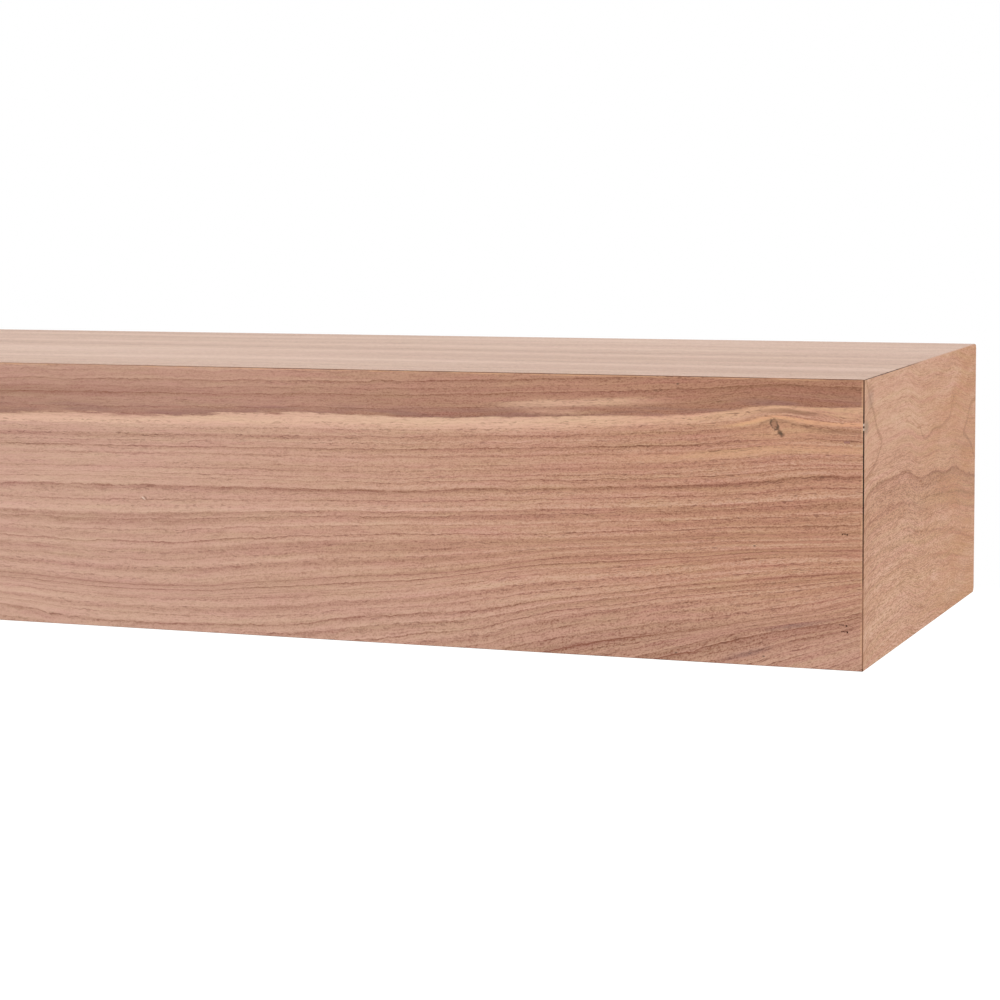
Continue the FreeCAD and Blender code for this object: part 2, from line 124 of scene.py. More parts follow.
# Mitres that have a spline, by the two boards that meet there
SPLINED = [("top", "front"), ("bottom", "front"), ("top", "left_end"), ("top", "right_end"),
           ("bottom", "left_end"), ("bottom", "right_end")]
BRADS = [f"{end}_{level}_brad" for end in ("left_end", "right_end")
         for level in ("upper", "middle", "lower")]
# Brads whose mouths are filled
FILLED = ("left_end_upper_brad", "right_end_upper_brad")
# Dents that a brad leaves in the front board, in millimetres: how far right of and above its middle each
# lies, and its width, height and depth
DENTS = [(-0.25, 0.1, 1.3, 0.55, 0.7), (-1.42, -0.1, 0.65, 0.8, 0.8), (1, -0.15, 0.8, 0.9, 1.0)]
FILLED_DENTS = [(0.6, 0, 2.9, 1.1, 1.5)]
# The brad that was driven twice, a little apart
TWICE_DRIVEN = "right_end_lower_brad"
TWICE_DENTS = [(-1.6, 0.2, 2.6, 0.55, 0.7), (0.8, -0.2, 0.9, 0.9, 1.0), (-0.5, -3.0, 2.4, 0.55, 0.7),
               (1.3, -3.2, 0.8, 0.9, 1.0)]
RODS = [name for name in frame["nodes"] if name.endswith("_rod")]
STRIPS = [name for name in frame["nodes"] if "_channel_" in name]
INSERTS = [name for name in frame["nodes"] if name.endswith("_threaded_insert")]
SPLINES = [f"{first}_{second}_spline" for first, second in SPLINED]
LOCKING_SCREWS = [name for name in frame["nodes"] if name.endswith("_locking_screw")]


# Colours

def linear(red, green, blue):
    """A colour given as it looks on a screen, 0 to 255, as the light values that shaders take."""
    def channel(value):
        share = value / 255
        return share / 12.92 if share <= 0.04045 else ((share + 0.055) / 1.055) ** 2.4
    return (channel(red), channel(green), channel(blue), 1.0)


# Values that change over a surface

def plug(tree, value, socket):
    """Links a field to a socket, or writes a plain number or colour into it."""
    if isinstance(value, Field):
        tree.links.new(value.socket, socket)
    else:
        socket.default_value = value


class Field:
    """One output of a shader tree, with arithmetic that adds math nodes to the tree."""

    def __init__(self, tree, socket):
        self.tree = tree
        self.socket = socket

    def math(self, operation, *others):
        """A math node on this field and others, or plain numbers."""
        node = self.tree.nodes.new("ShaderNodeMath")
        node.operation = operation
        for value, socket in zip((self, *others), node.inputs):
            plug(self.tree, value, socket)
        return Field(self.tree, node.outputs[0])

    def __add__(self, other):
        return self.math("ADD", other)

    def __sub__(self, other):
        return self.math("SUBTRACT", other)

    def __rsub__(self, other):
        return self.math("MULTIPLY_ADD", -1, other)

    def __mul__(self, other):
        return self.math("MULTIPLY", other)

    def __truediv__(self, other):
        return self.math("DIVIDE", other)

    __radd__ = __add__
    __rmul__ = __mul__

    def fraction(self):
        return self.math("FRACT")

    def whole(self):
        return self.math("FLOOR")

    def size(self):
        return self.math("ABSOLUTE")

    def power(self, exponent):
        return self.math("POWER", exponent)

    def at_most(self, other):
        return self.math("MINIMUM", other)

    def at_least(self, other):
        return self.math("MAXIMUM", other)

    def rise(self, start, end, smooth=True, top=1):
        """0 before start, top after end and a ramp between them."""
        node = self.tree.nodes.new("ShaderNodeMapRange")
        node.interpolation_type = "SMOOTHSTEP" if smooth else "LINEAR"
        for value, name in ((self, "Value"), (start, "From Min"), (end, "From Max"), (top, "To Max")):
            plug(self.tree, value, node.inputs[name])
        return Field(self.tree, node.outputs["Result"])

    def fall(self, start, end):
        """1 before start, 0 after end."""
        return 1 - self.rise(start, end)

    def hump(self, middle, half_width):
        """1 at the middle, easing to 0 at half_width to either side."""
        return (self - middle).size().fall(0, half_width)


class Tree:
    """Short ways to add nodes to one shader tree."""

    def __init__(self, tree):
        self.tree = tree

    def node(self, kind, **settings):
        node = self.tree.nodes.new(kind)
        for name, value in settings.items():
            setattr(node, name, value)
        return node

    def place(self):
        """The three Object coordinates, in millimetres."""
        coordinates = self.node("ShaderNodeTexCoord")
        split = self.node("ShaderNodeSeparateXYZ")
        self.tree.links.new(coordinates.outputs["Object"], split.inputs[0])
        return [Field(self.tree, socket) / MM for socket in split.outputs]

    def noise(self, x, y, z, detail=2.0, roughness=0.5):
        """Noise around 0, about half a unit either way, at a place given by three fields."""
        joined = self.node("ShaderNodeCombineXYZ")
        for value, socket in zip((x, y, z), joined.inputs):
            plug(self.tree, value, socket)
        node = self.node("ShaderNodeTexNoise")
        self.tree.links.new(joined.outputs[0], node.inputs["Vector"])
        node.inputs["Scale"].default_value = 1
        node.inputs["Detail"].default_value = detail
        node.inputs["Roughness"].default_value = roughness
        return Field(self.tree, node.outputs[0]) - 0.5

    def line_noise(self, along, detail=1.0):
        """Noise around 0 that changes along one field only."""
        node = self.node("ShaderNodeTexNoise", noise_dimensions="1D")
        plug(self.tree, along, node.inputs["W"])
        node.inputs["Scale"].default_value = 1
        node.inputs["Detail"].default_value = detail
        return Field(self.tree, node.outputs[0]) - 0.5

    def chance(self, number):
        """A random share from 0 to 1 for each whole number."""
        node = self.node("ShaderNodeTexWhiteNoise", noise_dimensions="1D")
        plug(self.tree, number, node.inputs["W"])
        return Field(self.tree, node.outputs["Value"])

    def curve(self, field, points):
        """A smooth curve through points, read at a field. Points are pairs from 0 to 1."""
        node = self.node("ShaderNodeFloatCurve")
        node.mapping.extend = "HORIZONTAL"
        plug(self.tree, field, node.inputs["Value"])
        drawn = node.mapping.curves[0].points
        drawn[0].location = points[0]
        drawn[1].location = points[-1]
        for point in points[1:-1]:
            drawn.new(*point)
        node.mapping.update()
        return Field(self.tree, node.outputs[0])

    def mix(self, share, first, second):
        """Two colours mixed by a share."""
        node = self.node("ShaderNodeMix", data_type="RGBA")
        plug(self.tree, share, node.inputs[0])
        plug(self.tree, first, node.inputs[6])
        plug(self.tree, second, node.inputs[7])
        return Field(self.tree, node.outputs[2])

    def turn_hue(self, colour, turn):
        """A colour with its hue turned by a share of a full turn."""
        node = self.node("ShaderNodeHueSaturation")
        plug(self.tree, turn + 0.5, node.inputs["Hue"])
        plug(self.tree, colour, node.inputs["Color"])
        return Field(self.tree, node.outputs[0])

    def bump(self, height, strength, distance):
        """Normals of a surface raised by a field, with the height of a unit in metres."""
        node = self.node("ShaderNodeBump")
        node.inputs["Strength"].default_value = strength
        node.inputs["Distance"].default_value = distance
        plug(self.tree, height, node.inputs["Height"])
        return Field(self.tree, node.outputs[0])

    def use(self, group, **inputs):
        """Places a node group and gives back its outputs by name."""
        node = self.node("ShaderNodeGroup", node_tree=group)
        for name, value in inputs.items():
            plug(self.tree, value, node.inputs[name])
        return {socket.name: Field(self.tree, socket) for socket in node.outputs}


def new_group(name, inputs, outputs):
    """An empty node group, with the fields of its inputs and a function that sets its outputs."""
    group = bpy.data.node_groups.new(name, "ShaderNodeTree")
    for socket, value in inputs.items():
        made = group.interface.new_socket(socket, in_out="INPUT", socket_type="NodeSocketFloat")
        made.default_value = value
    for socket in outputs:
        group.interface.new_socket(socket, in_out="OUTPUT", socket_type="NodeSocketFloat")
    entry = group.nodes.new("NodeGroupInput")
    leaving = group.nodes.new("NodeGroupOutput")

    def give(**results):
        for socket, value in results.items():
            plug(group, value, leaving.inputs[socket])

    fields = [Field(group, entry.outputs[socket]) for socket in inputs]
    return group, Tree(group), fields, give


def new_material(name):
    """A material with its shader and the tree to build it in."""
    material = bpy.data.materials.new(name)
    material.use_nodes = True
    shader = material.node_tree.nodes["Principled BSDF"]
    return material, shader, Tree(material.node_tree)


def finish_shader(shader, tree, **inputs):
    """Plugs fields or plain values into a shader, with underscores for the spaces in its socket names."""
    for name, value in inputs.items():
        plug(tree.tree, value, shader.inputs[name.replace("_", " ")])


# Wood

def make_figure_group():
    """The figure of sawn wood: rings with a pale lip and a dark line, streaks, fibres, grit and pores."""
    group, tree, fields, give = new_group(
        "wood_figure",
        {"Along": 0, "Growth": 0, "Across": 0, "Spacing": 4, "Seed": 0},
        ("Streak", "Fibre", "Grit", "Line", "Shade", "Pores", "Hue"),
    )
    along, growth, across, spacing, seed = fields
    waver = tree.noise(along / 26 + seed, growth / 10, across / 10, detail=4)
    ripple = tree.noise(along / 3.2, growth / 4, across / 4 + seed, detail=1)
    growth = growth + waver * 2.6 + ripple * 1.1
    drift = tree.line_noise(growth / spacing / 2.7 + seed * 7.3)
    ring = growth / spacing + drift * 1.4
    phase = ring.fraction()
    number = ring.whole() + seed * 13
    strength = 0.15 + 0.85 * tree.chance(number)
    next_strength = 0.15 + 0.85 * tree.chance(number + 1)
    dashes = tree.noise(along / 16, number * 3.7, across / 16, detail=4, roughness=0.7).rise(-0.2, 0.1)
    line = (phase * spacing).fall(0.05, 0.95) * (0.25 + 0.75 * dashes) * strength
    shade = phase.fall(0, 0.7) * strength - phase.rise(0.7, 0.97) * next_strength * 0.8
    streak = tree.noise(along / 120 + seed, growth / 2.6, across / 2.6, detail=3)
    fibre = tree.noise(along / 13 + seed, growth / 0.55, across / 0.55, detail=2, roughness=0.6)
    grit = tree.noise(along / 0.9, growth / 0.55, across / 0.8 + seed, detail=1)
    patches = tree.noise(along / 50, growth / 5 + seed, across / 9, detail=2).rise(-0.2, 0.15)
    grains = tree.noise(along / 3, growth / 0.6, across / 0.6 + seed, detail=1)
    pores = grains.rise(0.04, 0.16) * (0.4 + 0.6 * phase.fall(0, 0.6)) * (0.3 + 0.7 * patches)
    hue = tree.noise(along / 40, growth / 3 + seed, across / 20, detail=4, roughness=0.65)
    give(Streak=streak, Fibre=fibre, Grit=grit, Line=line, Shade=shade, Pores=pores, Hue=hue)
    return group


FIGURE = make_figure_group()

HEARTWOOD_DARK = linear(134, 81, 57)
HEARTWOOD = linear(199, 156, 135)
HEARTWOOD_WARM = linear(189, 137, 108)
END_HEARTWOOD = linear(197, 143, 107)
END_TAN = linear(191, 132, 88)
END_DARK = linear(144, 88, 43)
END_ROSE = linear(207, 159, 131)
STAIN = linear(140, 112, 90)
LONG_HEARTWOOD = linear(205, 166, 141)
LONG_DARK = linear(142, 88, 54)
LONG_PALE = linear(232, 200, 183)
HEARTWOOD_PALE = linear(232, 194, 170)
SAPWOOD = linear(230, 187, 160)
AMBER = linear(216, 164, 126)
TONGUE = linear(222, 166, 126)
SMOKE = linear(146, 104, 93)
SLATE = linear(124, 98, 92)
PORE = linear(110, 68, 50)
KNOT = linear(84, 60, 40)
LENS = linear(142, 98, 72)
CHIP = linear(228, 206, 188)
# How far the hue of walnut wanders, as a share of a full turn for each unit of noise
HUE_DRIFT = 0.042


def wood_tone(tree, tone, dark, base, pale):
    """Wood's colour by tone: -1 is the dark colour given, 0 the plain one and 1 the pale one."""
    lower = tree.mix((tone * -1).rise(0, 1, smooth=False), base, dark)
    return tree.mix(tone.rise(0, 1, smooth=False), lower, pale)


def add_figure(tone, figure, contrast, grit=1.4, line=0.6, palest=0.12):
    """A tone with the fine figure of the wood added to it."""
    specks = (figure["Fibre"] * 1.3 + figure["Grit"] * grit).at_most(palest)
    rings = figure["Streak"] * 0.45 - figure["Shade"] * 0.2 - figure["Line"] * line
    return tone + (rings + specks) * contrast


def finish_walnut(shader, tree, colour, figure, pores, sheen, pore=PORE):
    """Sanded, unoiled walnut: dull, with a soft sheen and open pores that catch a little shade."""
    colour = tree.mix(figure["Pores"] * pores, colour, pore)
    colour = tree.turn_hue(colour, figure["Hue"] * HUE_DRIFT)
    height = figure["Fibre"] * 0.5 - figure["Pores"] - figure["Line"] * 0.4
    roughness = 0.6 + figure["Fibre"] * 0.12 + figure["Pores"] * 0.15
    finish_shader(shader, tree, Base_Color=colour, Roughness=roughness,
                  Normal=tree.bump(height, 0.3, 0.1 * MM), Specular_IOR_Level=0.45,
                  Sheen_Weight=sheen, Sheen_Roughness=0.4)


# Grain lines are drawn. Each has a growth level and points along the board and below its top edge,
# in millimetres. Growth is constant along each line, and rises evenly from one line to the next.
FRONT_GRAIN = [
    (0, [(-457, 4), (-200, 2), (0, 0), (200, -2), (320, -6), (457, -11)]),
    (29, [(-457, 33), (-250, 31), (-100, 29.6), (45, 29.2), (166, 27.1), (227, 26.2), (288, 24.1),
          (348, 21.4), (380, 19.4), (402, 16.3), (416, 15.2), (430, 16.2), (442, 17.8), (457, 18.6)]),
    (64, [(-457, 65), (-250, 67), (-100, 65), (94, 62.4), (190, 61.5), (220, 60.8), (250, 58.8),
          (290, 57), (350, 54), (380, 52), (402, 50.2), (420, 47.6), (457, 45.5)]),
    (76, [(-457, 81), (-250, 78), (-120, 78.5), (-15, 79.5), (60, 79), (91, 77.5), (136, 75.3),
          (160, 74), (197, 72.7), (250, 71), (300, 68), (350, 65), (380, 63), (420, 59.5),
          (457, 56.5)]),
    (90, [(-457, 95), (-250, 93), (-120, 94), (-15, 96), (20, 97), (60, 97.5), (90, 96), (130, 92.5),
          (160, 89.7), (215, 86.5), (250, 84.5), (290, 83), (320, 81), (350, 79), (380, 76.3),
          (420, 74.5), (457, 72.5)]),
    (104, [(-457, 108), (-300, 107), (-120, 110), (-15, 113), (60, 116), (100, 115), (136, 111.3),
           (166, 108.2), (216, 103.5), (250, 100), (280, 95), (300, 91.5), (330, 88.8), (370, 86),
           (400, 83.3), (457, 79.5)]),
    (114, [(-457, 118), (-280, 117), (-120, 117.5), (-15, 119.5), (20, 121.5), (90, 122), (110, 121),
           (135, 119), (160, 117.3), (180, 115), (215, 112), (240, 108.3), (280, 101), (300, 98.8),
           (320, 97.6), (340, 95.5), (370, 91.5), (410, 86.3), (457, 83.8)]),
    (126, [(-457, 131), (-280, 129), (-80, 129.5), (-15, 131), (20, 134.5), (60, 136), (100, 135),
           (130, 134), (160, 131.5), (180, 128.5), (200, 125.7), (220, 124), (250, 121), (280, 116),
           (300, 112), (340, 106.3), (370, 101.5), (400, 97.8), (457, 91.5)]),
    (137, [(-457, 146), (-150, 150), (100, 152), (200, 143.5), (240, 137), (262, 133), (275, 128.5),
           (290, 125), (300, 122.5), (350, 113.5), (400, 106), (420, 103.5), (440, 100), (457, 97)]),
    (148, [(-457, 165), (-150, 172), (90, 176), (212, 157), (288, 140), (300, 137), (340, 129),
           (370, 124), (395, 119), (420, 114), (445, 107.5), (457, 104)]),
    (160, [(-457, 183), (-100, 190), (150, 190), (280, 156), (350, 138), (372, 131.5), (390, 126),
           (410, 121.3), (425, 118.5), (440, 116), (457, 111.5)]),
    (168, [(-457, 195), (-100, 205), (150, 205), (280, 170), (350, 148), (372, 142), (390, 136.5),
           (405, 132.5), (415, 129), (430, 125), (445, 121), (457, 117)]),
    (212, [(-457, 250), (-100, 270), (150, 268), (300, 225), (400, 178), (457, 150)]),
]
# How pale or dark the front board's wood is by growth, from -1 to 1
FRONT_TONE = [(0, 0.04), (4, -0.16), (10, -0.24), (16, -0.4), (20, -0.34), (25, -0.48), (27, -0.36),
              (31, 0.1), (34, 0.02), (37, -0.12), (40, 0.02), (43, -0.08), (48, 0.16), (52, 0.02),
              (59, 0.16), (63, 0.09), (66, 0.08), (71, 0.08), (74, 0.22), (77, -0.04), (79.5, -0.04),
              (82, 0.14), (85.5, 0.04), (88, 0.1), (91, -0.06), (94.5, -0.1), (96.5, 0.08),
              (98.5, -0.06), (101, 0.16), (104.5, -0.1), (109, -0.12), (112.5, -0.04), (114, 0),
              (117, 0.2), (119.5, 0), (122.5, 0.12), (125, 0.06), (126, -0.02), (128.5, 0.06), (131, 0),
              (134.5, 0), (138, -0.08), (143, 0.02), (148, -0.18), (154, -0.1), (160, -0.26),
              (168, -0.22), (176, -0.1), (212, -0.2)]
# Dark lines of the front board: growth level and strength
FRONT_LINES = [(37, 0.5), (41, 0.4), (46.5, 0.8), (54, 0.4), (64, 0.8), (69, 0.4), (76, 0.9),
               (78.5, 0.5), (84, 0.5), (90, 0.8), (98, 0.6), (104, 0.6), (114, 0.7), (119.5, 0.4),
               (126, 0.7), (130, 0.5), (137, 0.8), (148, 0.9), (154, 0.5), (160, 0.8), (168, 0.9),
               (178, 0.6)]
# Upper and lower edge of the front board's sapwood streak
SAPWOOD_TOP = [(-457, 31), (-250, 29), (-100, 27.4), (-15, 26.3), (30, 25), (60, 26), (85, 25.5),
               (110, 24.2), (133, 23.5), (184, 22.9), (234, 23.4), (282, 21.8), (325, 20.2),
               (376, 17.9), (397, 15.3), (413, 13.2), (437, 13.8), (457, 13.3)]
SAPWOOD_FOOT = [(-457, 36), (-250, 34), (-15, 31.6), (80, 30.6), (184, 31.3), (234, 31.3), (282, 30.8),
                (325, 28.6), (376, 24.8), (397, 22.2), (413, 19.6), (435, 19.8), (457, 21.1)]
# Round the pin knot the streak parts: a dark lens, a bright tongue under it, and a dark line over the knot
LENS_LINE = [(-457, 30), (380, 21.5), (395.5, 19.2), (405.5, 16.5), (418, 15.7), (426.3, 16.6),
             (436.2, 17.4), (457, 18)]
TONGUE_LINE = [(-457, 36), (380, 25), (395.5, 22.8), (406.4, 20.2), (413, 18.6), (422.2, 19.7),
               (434.5, 21.2), (457, 21.3)]
HALO_LINE = [(-457, 40), (385, 28), (401.4, 24.6), (409.7, 20.9), (413.1, 20.2), (422.2, 21.8),
             (434.6, 24.5), (457, 25.4)]
# Marks on the front board: their places along it and below its top edge, in millimetres
KNOT_MIDDLE = (414, 24)
KNOT_EYE = (413, 22.3)
KNOT_BUD = (416.2, 26.6)
KNOT_LINK = (414.9, 24.6)
KNOT_PATCH = (415, 26)
CHIP_PLACE = (69.1, 70.1)
CHIP_EDGE = (70.4, 69.8)
SPECKS = [(364.6, 3.8), (403.2, 81.4), (363.3, 136), (407.8, 135.2)]

# The line that the end boards' fibres follow
END_BEND = [(0, 60), (10, 55.5), (25, 53.5), (60, 53), (90, 53), (99, 54.8), (108, 58), (120, 60),
            (155, 60.2), (180, 63.2), (195, 62.6), (215, 66.5), (230, 70), (254, 73)]
END_GRAIN = [
    (0, [(0, -30), (60, -16), (130, -2), (200, -14), (254, -30)]),
    (40, [(0, 0), (30, 8), (55, 17), (82, 25), (110, 30), (118, 33.5), (122, 38), (130, 40.7),
          (145, 38.3), (172, 37.8), (187, 34.3), (192, 29), (198, 25), (222, 21), (254, 12)]),
    (60, END_BEND),
    (70, [(0, 72), (20, 69), (65, 67.2), (80, 68), (92, 70.5), (140, 71.7), (190, 75), (254, 84)]),
    (90, [(0, 88), (80, 86), (160, 92), (227, 103.5), (254, 108.5)]),
    (150, [(0, 152), (80, 148), (254, 162)]),
]
END_TONE = [(0, 0.1), (30, 0.1), (44, 0.04), (58, 0), (62, -0.16), (74, -0.1), (90, 0.02), (115, 0.03),
            (140, 0.06)]
END_LINES = [(40, 0.5), (60, 1.4), (64, 0.4), (70, 0.8), (76, 0.5), (90, 0.7), (96, 0.4), (103, 0.6)]
# Clear stretches of the end boards' rings: where each starts and ends along the board, how wide it is, and
# its line
END_RINGS = [
    (-2, 36, 2.6, [(0, -4), (12, 11), (19, 18), (25, 25.5), (31, 29.5), (36, 31.4), (254, 32)]),
    (-2, 36, 1.8, [(0, 49), (6, 47.5), (15, 45), (23, 42), (28, 39), (32, 35.5), (36, 31.8),
                   (254, 30)]),
    (116, 198, 1.3, [(0, 0), (110, 31), (117, 33.5), (122, 38), (126, 40.3), (132, 41), (138, 40),
                     (146, 38), (170, 38), (180, 36), (188, 34), (192, 29), (197, 25), (254, 20)]),
    (221, 256, 2, [(0, 47), (221, 46.3), (230, 42), (235, 38), (238, 34.5), (250, 31), (254, 30)]),
    (221, 256, 1.8, [(0, 46), (221, 46.5), (228, 48.5), (236, 52), (243, 55.5), (248, 60), (254, 64)]),
]

# Marks on the end boards: their places along them and below their top edges
STAIN_PLACE = (4, 23)
STAIN_CORNER = (12, 10)
PALE_SPOT = (152, 116)

# Lowest and highest place below a board's top edge that a grain line can take
GRAIN_LOW = -40
GRAIN_HIGH = 320


class Plank:
    """Places on a board's outside face: a share of its length, and millimetres below its top edge."""

    def __init__(self, tree, along, start, length, down):
        self.tree = tree
        self.start = start
        self.length = length
        self.share = (along - start) / length
        self.down = down

    def drawn(self, points):
        """How far below the top edge a line drawn through some points lies."""
        span = GRAIN_HIGH - GRAIN_LOW
        shares = [((px - self.start) / self.length, (ph - GRAIN_LOW) / span) for px, ph in points]
        return self.tree.curve(self.share, shares) * span + GRAIN_LOW

    def growth(self, grain):
        """Growth of the wood in millimetres, which is constant along each drawn line of its grain."""
        depths = [self.drawn(points) for level, points in grain]
        levels = [level for level, points in grain]
        growth = (self.down - depths[0]).at_most(0)
        for i in range(len(levels) - 1):
            rise = self.down.rise(depths[i], depths[i + 1], smooth=False, top=levels[i + 1] - levels[i])
            growth = growth + rise
        return growth


def tone_by_growth(tree, growth, tones):
    """A tone that changes with growth, as a table of levels and tones says."""
    last = tones[-1][0]
    return tree.curve(growth / last, [(level / last, 0.5 + value / 2) for level, value in tones]) * 2 - 1


# Across a dark line of the grain: millimetres of growth past it, and how dark the wood is there
LINE_PROFILE = [(-3, 0), (-1.6, -0.2), (-0.9, -0.22), (-0.4, 0.1), (0.1, 0.7), (0.5, 0.8), (1, 0.55),
                (1.7, 0.32), (3, 0.14), (5, 0)]


def drawn_lines(tree, growth, along, across, lines, detail=4, faded=0.7, width=1):
    """Dark lines of the grain at chosen growth levels, with pale lips, each faded here and there."""
    wander = growth + tree.noise(along / 14, growth / 7, across / 9, detail=detail, roughness=0.65) * 2.6
    dashes = tree.noise(along / 14, growth / 4, across / 12, detail=4, roughness=0.7).rise(-0.2, 0.1)
    start, end = LINE_PROFILE[0][0], LINE_PROFILE[-1][0]
    profile = [((past - start) / (end - start), 0.5 + dark / 2) for past, dark in LINE_PROFILE]
    total = 0
    for level, strength in lines:
        dark = tree.curve(((wander - level) / width - start) / (end - start), profile) * 2 - 1
        total = dark * strength + total
    return total * (1 - faded + faded * dashes)


def mark(x, down, middle, width, height, slant=0):
    """How far a place is from the middle of a small mark: 1 at the mark's edge."""
    below = down - middle[1]
    away = (x - middle[0] - below * slant) / width
    below = below / height
    return (away * away + below * below).power(0.5)


def add_sapwood(tree, colour, plank, x, y, figure):
    """The pale streak with its smoky upper edge, and two thinner ones above it near the right end."""
    down = plank.down
    tongues = tree.noise(x / 11, down / 1.3, y / 9, detail=4, roughness=0.65)
    ragged = tongues * (2.2 + x.fall(60, 260) * 4) + tree.noise(x / 60, down / 9, y / 60) * 2
    below_top = down - plank.drawn(SAPWOOD_TOP) + ragged
    above_foot = plank.drawn(SAPWOOD_FOOT) - down + figure["Fibre"] * 2.5 + tongues
    clouds = tree.noise(x / 26, down / 2.2, y / 26, detail=4).rise(-0.15, 0.16)
    smoke = (below_top * -1).fall(0.5, 8) * (below_top * -1).rise(-0.4, 0.3) * clouds
    colour = tree.mix(smoke * 0.6, colour, SMOKE)
    soft_top = 0.7 + x.fall(20, 120) * 1.4
    soft_foot = 0.8 + x.rise(60, 200) * 4.5
    sapwood = below_top.rise(-0.4, soft_top) * above_foot.rise(-0.4, soft_foot)
    strip = (down + (x - 272) * 0.05 - 16.4 + ragged).size()
    strip = strip.fall(0.8, 3) * x.rise(256, 300) * x.fall(330, 372)
    strand = (down - 18.8 + ragged).size().fall(0.4, 2) * x.rise(276, 296) * x.fall(306, 334)
    pale = sapwood.at_least(strip * 0.8).at_least(strand * 0.5)
    streak = tree.mix(x.rise(250, 430) * 0.7, SAPWOOD, AMBER)
    strength = 0.72 - x.fall(60, 160) * 0.12
    colour = tree.mix(pale * (strength + figure["Fibre"] * 0.8), colour, streak)
    lens = (down - plank.drawn(LENS_LINE) + tongues * 2).size().fall(0.5, 1.7)
    lens = lens * x.rise(392, 412) * x.fall(428, 441) * (0.45 + 0.55 * x.rise(404, 424))
    tongue = (down - plank.drawn(TONGUE_LINE) + tongues * 1.5).size().fall(0.2, 1.5) * x.rise(380, 402)
    halo = (down - plank.drawn(HALO_LINE) + tongues * 2).size().fall(0.1, 1.1) * x.rise(392, 408)
    colour = tree.mix(lens * 0.75, colour, LENS)
    colour = tree.mix(tongue * 0.8, colour, TONGUE)
    return tree.mix(halo * 0.5, colour, LENS)


def add_knot(tree, colour, x, y, down):
    """A pin knot: an eye and a bud with dark broken rims, in a patch of amber wood."""
    rough = tree.noise(x / 1.5, down / 1.5, y / 1.5, detail=2) * 1.2
    patch = mark(x, down, KNOT_PATCH, 34, 9)
    eye = mark(x, down, KNOT_EYE, 1.7, 2.5, 0.3) + rough
    bud = mark(x, down, KNOT_BUD, 1.7, 1.9, 0.4) + rough
    link = mark(x, down, KNOT_LINK, 0.8, 1.8, 0.7) + rough
    broken = tree.noise(x / 2.4, down / 2.4, y / 2.4, detail=1).rise(-0.3, 0.1)
    colour = tree.mix(patch.fall(0.2, 1) * 0.3, colour, AMBER)
    colour = tree.mix(eye.fall(0.6, 1.4) * 0.5, colour, LENS)
    colour = tree.mix(eye.hump(0.95, 0.5) * broken, colour, KNOT)
    colour = tree.mix(link.fall(0.4, 1.2) * 0.6, colour, KNOT)
    colour = tree.mix(bud.fall(0.5, 1.3) * 0.8, colour, LENS)
    return tree.mix(bud.fall(0.2, 1.0) * (0.5 + 0.5 * broken), colour, KNOT)


def add_small_marks(tree, colour, x, y, down):
    """Specks of dark bark, and a chip where a splinter came off."""
    rough = tree.noise(x / 0.8, down / 0.8, y / 0.8, detail=1)
    for place in SPECKS:
        speck = mark(x, down, place, 0.8, 0.45) + rough
        colour = tree.mix(speck.fall(0.4, 1.2) * 0.75, colour, KNOT)
    edge = mark(x, down, CHIP_EDGE, 0.7, 1, 0.9) + rough
    chip = mark(x, down, CHIP_PLACE, 0.6, 0.8, 1.1) + rough
    colour = tree.mix(edge.fall(0.5, 1.2) * 0.6, colour, PORE)
    return tree.mix(chip.fall(0.5, 1.2) * 0.85, colour, CHIP)


def front_tone(tree, growth, band, x, y, down):
    """How pale or dark the front board is, apart from its fine figure."""
    tone = tone_by_growth(tree, growth, FRONT_TONE) * (1 - growth.rise(31, 36) * 0.1)
    tone = tone - band * (x.rise(300, 420) + x.fall(0, 140)) * 0.12
    tone = tone - drawn_lines(tree, growth, x, y, FRONT_LINES) * 0.42
    darker_foot = down.rise(108, 130) * x.rise(20, 230) * x.fall(320, 470)
    paler_right = down.hump(105, 17) * x.rise(290, 390)
    paler_under_streak = growth.hump(39, 9) * x.rise(60, 200)
    darker_middle = growth.hump(61, 17) * x.rise(40, 160)
    tone = tone - darker_foot * 0.12 + paler_right * 0.09
    tone = tone + paler_under_streak * 0.06 - darker_middle * 0.08
    wide_bands = tree.noise(x / 150, growth / 9, y / 60, detail=1)
    return tone + wide_bands * 0.4


